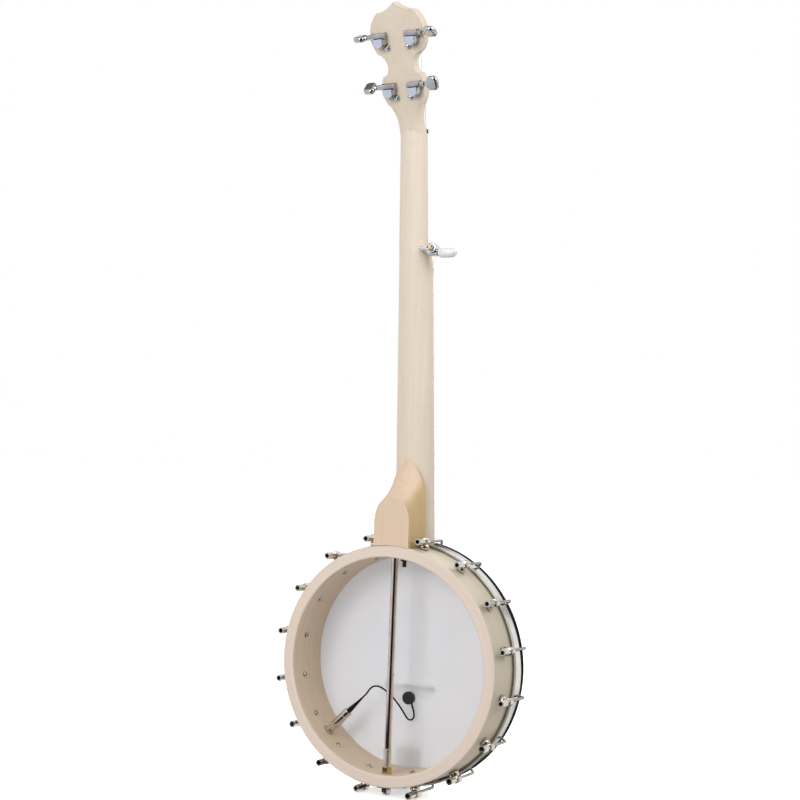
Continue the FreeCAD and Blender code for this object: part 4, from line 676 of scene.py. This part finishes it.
def stage_floor():
    """A plain white floor; to glossy rays it glows with painted reflections of dark boards."""
    tree = Tree("studio_floor")
    rays = tree.node("ShaderNodeLightPath")
    seen = rays.outputs["Is Camera Ray"]
    cloud = tree.noise(tree.place, 1.5, 2)
    white = tree.mix(cloud, (0.92, 0.92, 0.92), (0.94, 0.94, 0.94))
    tree.colour(tree.mix(seen, (0.52, 0.51, 0.50), white))
    tree.rough(tree.spread(cloud, 0.3, 0.7, 0.75, 0.85))
    tree.set(Specular_IOR_Level=0.1, Emission_Color=(1.0, 1.0, 1.0, 1.0))
    tree.feed(tree.shader.inputs["Emission Strength"], tree.math("MULTIPLY", seen, 0.55))
    mirror = tree.node("ShaderNodeEmission")
    reach = tree.node("ShaderNodeVectorMath", operation="LENGTH")
    tree.feed(reach.inputs[0], tree.place)
    near = mirrored(tree, NEAR_MIRROR)
    far = mirrored(tree, FLOOR_MIRROR)
    distance = tree.spread(reach.outputs["Value"], 0.45, 0.75)
    tree.feed(mirror.inputs["Color"], tree.mix(distance, near, far))
    # Painted reflections: glossy rays see the floor glow in the ring colours.
    tree.blend_shader(rays.outputs["Is Glossy Ray"], mirror)
    mesh = bpy.data.meshes.new("floor")
    z = LOWEST - FLOOR_GAP
    corners = [(x * FLOOR_HALF, y * FLOOR_HALF, z) for x, y in ((-1, -1), (1, -1), (1, 1), (-1, 1))]
    mesh.from_pydata(corners, [], [(0, 1, 2, 3)])
    floor = bpy.data.objects.new("floor", mesh)
    bpy.context.scene.collection.objects.link(floor)
    mesh.materials.append(tree.material)


class SkyTree(Tree):
    """The world's node tree, with the same short calls."""

    def __init__(self, name):
        world = bpy.data.worlds.new(name)
        bpy.context.scene.world = world
        world.use_nodes = True
        self.nodes = world.node_tree.nodes
        self.links = world.node_tree.links
        self.place = self.node("ShaderNodeTexCoord").outputs["Generated"]


def studio_world():
    """White surroundings; glossy rays alone see painted reflections of dark boards and soft edges.
    """
    tree = SkyTree("studio")
    mirror = mirrored(tree, LOW_MIRROR, [(0.27, MIDDLE_MIRROR), (0.50, HIGH_MIRROR)])
    rays = tree.node("ShaderNodeLightPath")
    height = tree.spread(tree.split(tree.place)[2], -0.2, 0.9)
    lit = tree.mix(height, (0.58, 0.58, 0.585), (0.74, 0.74, 0.74))
    # Painted reflections: glossy rays see the ring colours in place of the white.
    colour = tree.mix(rays.outputs["Is Glossy Ray"], lit, mirror)
    colour = tree.mix(rays.outputs["Is Camera Ray"], colour, (1.0, 1.0, 1.0))
    tree.feed(tree.nodes["Background"].inputs["Color"], colour)


def soft_light(name, place, target, size, power, colour=(1.0, 1.0, 1.0), mirrors=True,
               spread=180):
    """A square lamp aimed at a target; its light fans out within the spread, in degrees."""
    light = bpy.data.lights.new(name, "AREA")
    light.shape = "SQUARE"
    light.size = size
    light.energy = power
    light.spread = math.radians(spread)
    light.color = colour
    lamp = bpy.data.objects.new(name, light)
    lamp.location = place
    lamp.rotation_euler = (Vector(target) - Vector(place)).to_track_quat("-Z", "Y").to_euler()
    lamp.visible_glossy = mirrors
    bpy.context.scene.collection.objects.link(lamp)


def camera():
    """The photograph's view: from behind, a little from the fifth-string side."""
    place = Vector((-0.880115, 1.614199, 0.239967))
    target = Vector((-0.006263, 0.0, 0.312728))
    roll = math.radians(2.211)
    forward = (target - place).normalized()
    right = forward.cross(Vector((0.0, 0.0, 1.0))).normalized()
    up = right.cross(forward)
    rolled_right = right * math.cos(roll) + up * math.sin(roll)
    rolled_up = up * math.cos(roll) - right * math.sin(roll)
    lens = bpy.data.cameras.new("camera")
    lens.sensor_width = 36.0
    lens.lens = 70.15
    lens.clip_start = 0.01
    holder = bpy.data.objects.new("camera", lens)
    turn = Matrix((rolled_right, rolled_up, -forward)).transposed()
    holder.matrix_world = Matrix.Translation(place) @ turn.to_4x4()
    bpy.context.scene.collection.objects.link(holder)
    bpy.context.scene.camera = holder


stage_floor()
studio_world()
soft_light("key", (0.5, 2.8, 1.1), (0.0, 0.0, 0.3), 1.4, 36.5, (1.0, 0.99, 0.98))
soft_light("upper_right", (-1.5, 0.1, 1.3), (0.0, 0.0, 0.72), 0.8, 2.0, (1.0, 0.99, 0.97),
           spread=60)
soft_light("front_fill", (0.3, -1.9, 0.5), (0.0, 0.0, 0.0), 1.5, 7.2, mirrors=False, spread=40)
camera()
bpy.context.scene.view_settings.view_transform = "Standard"
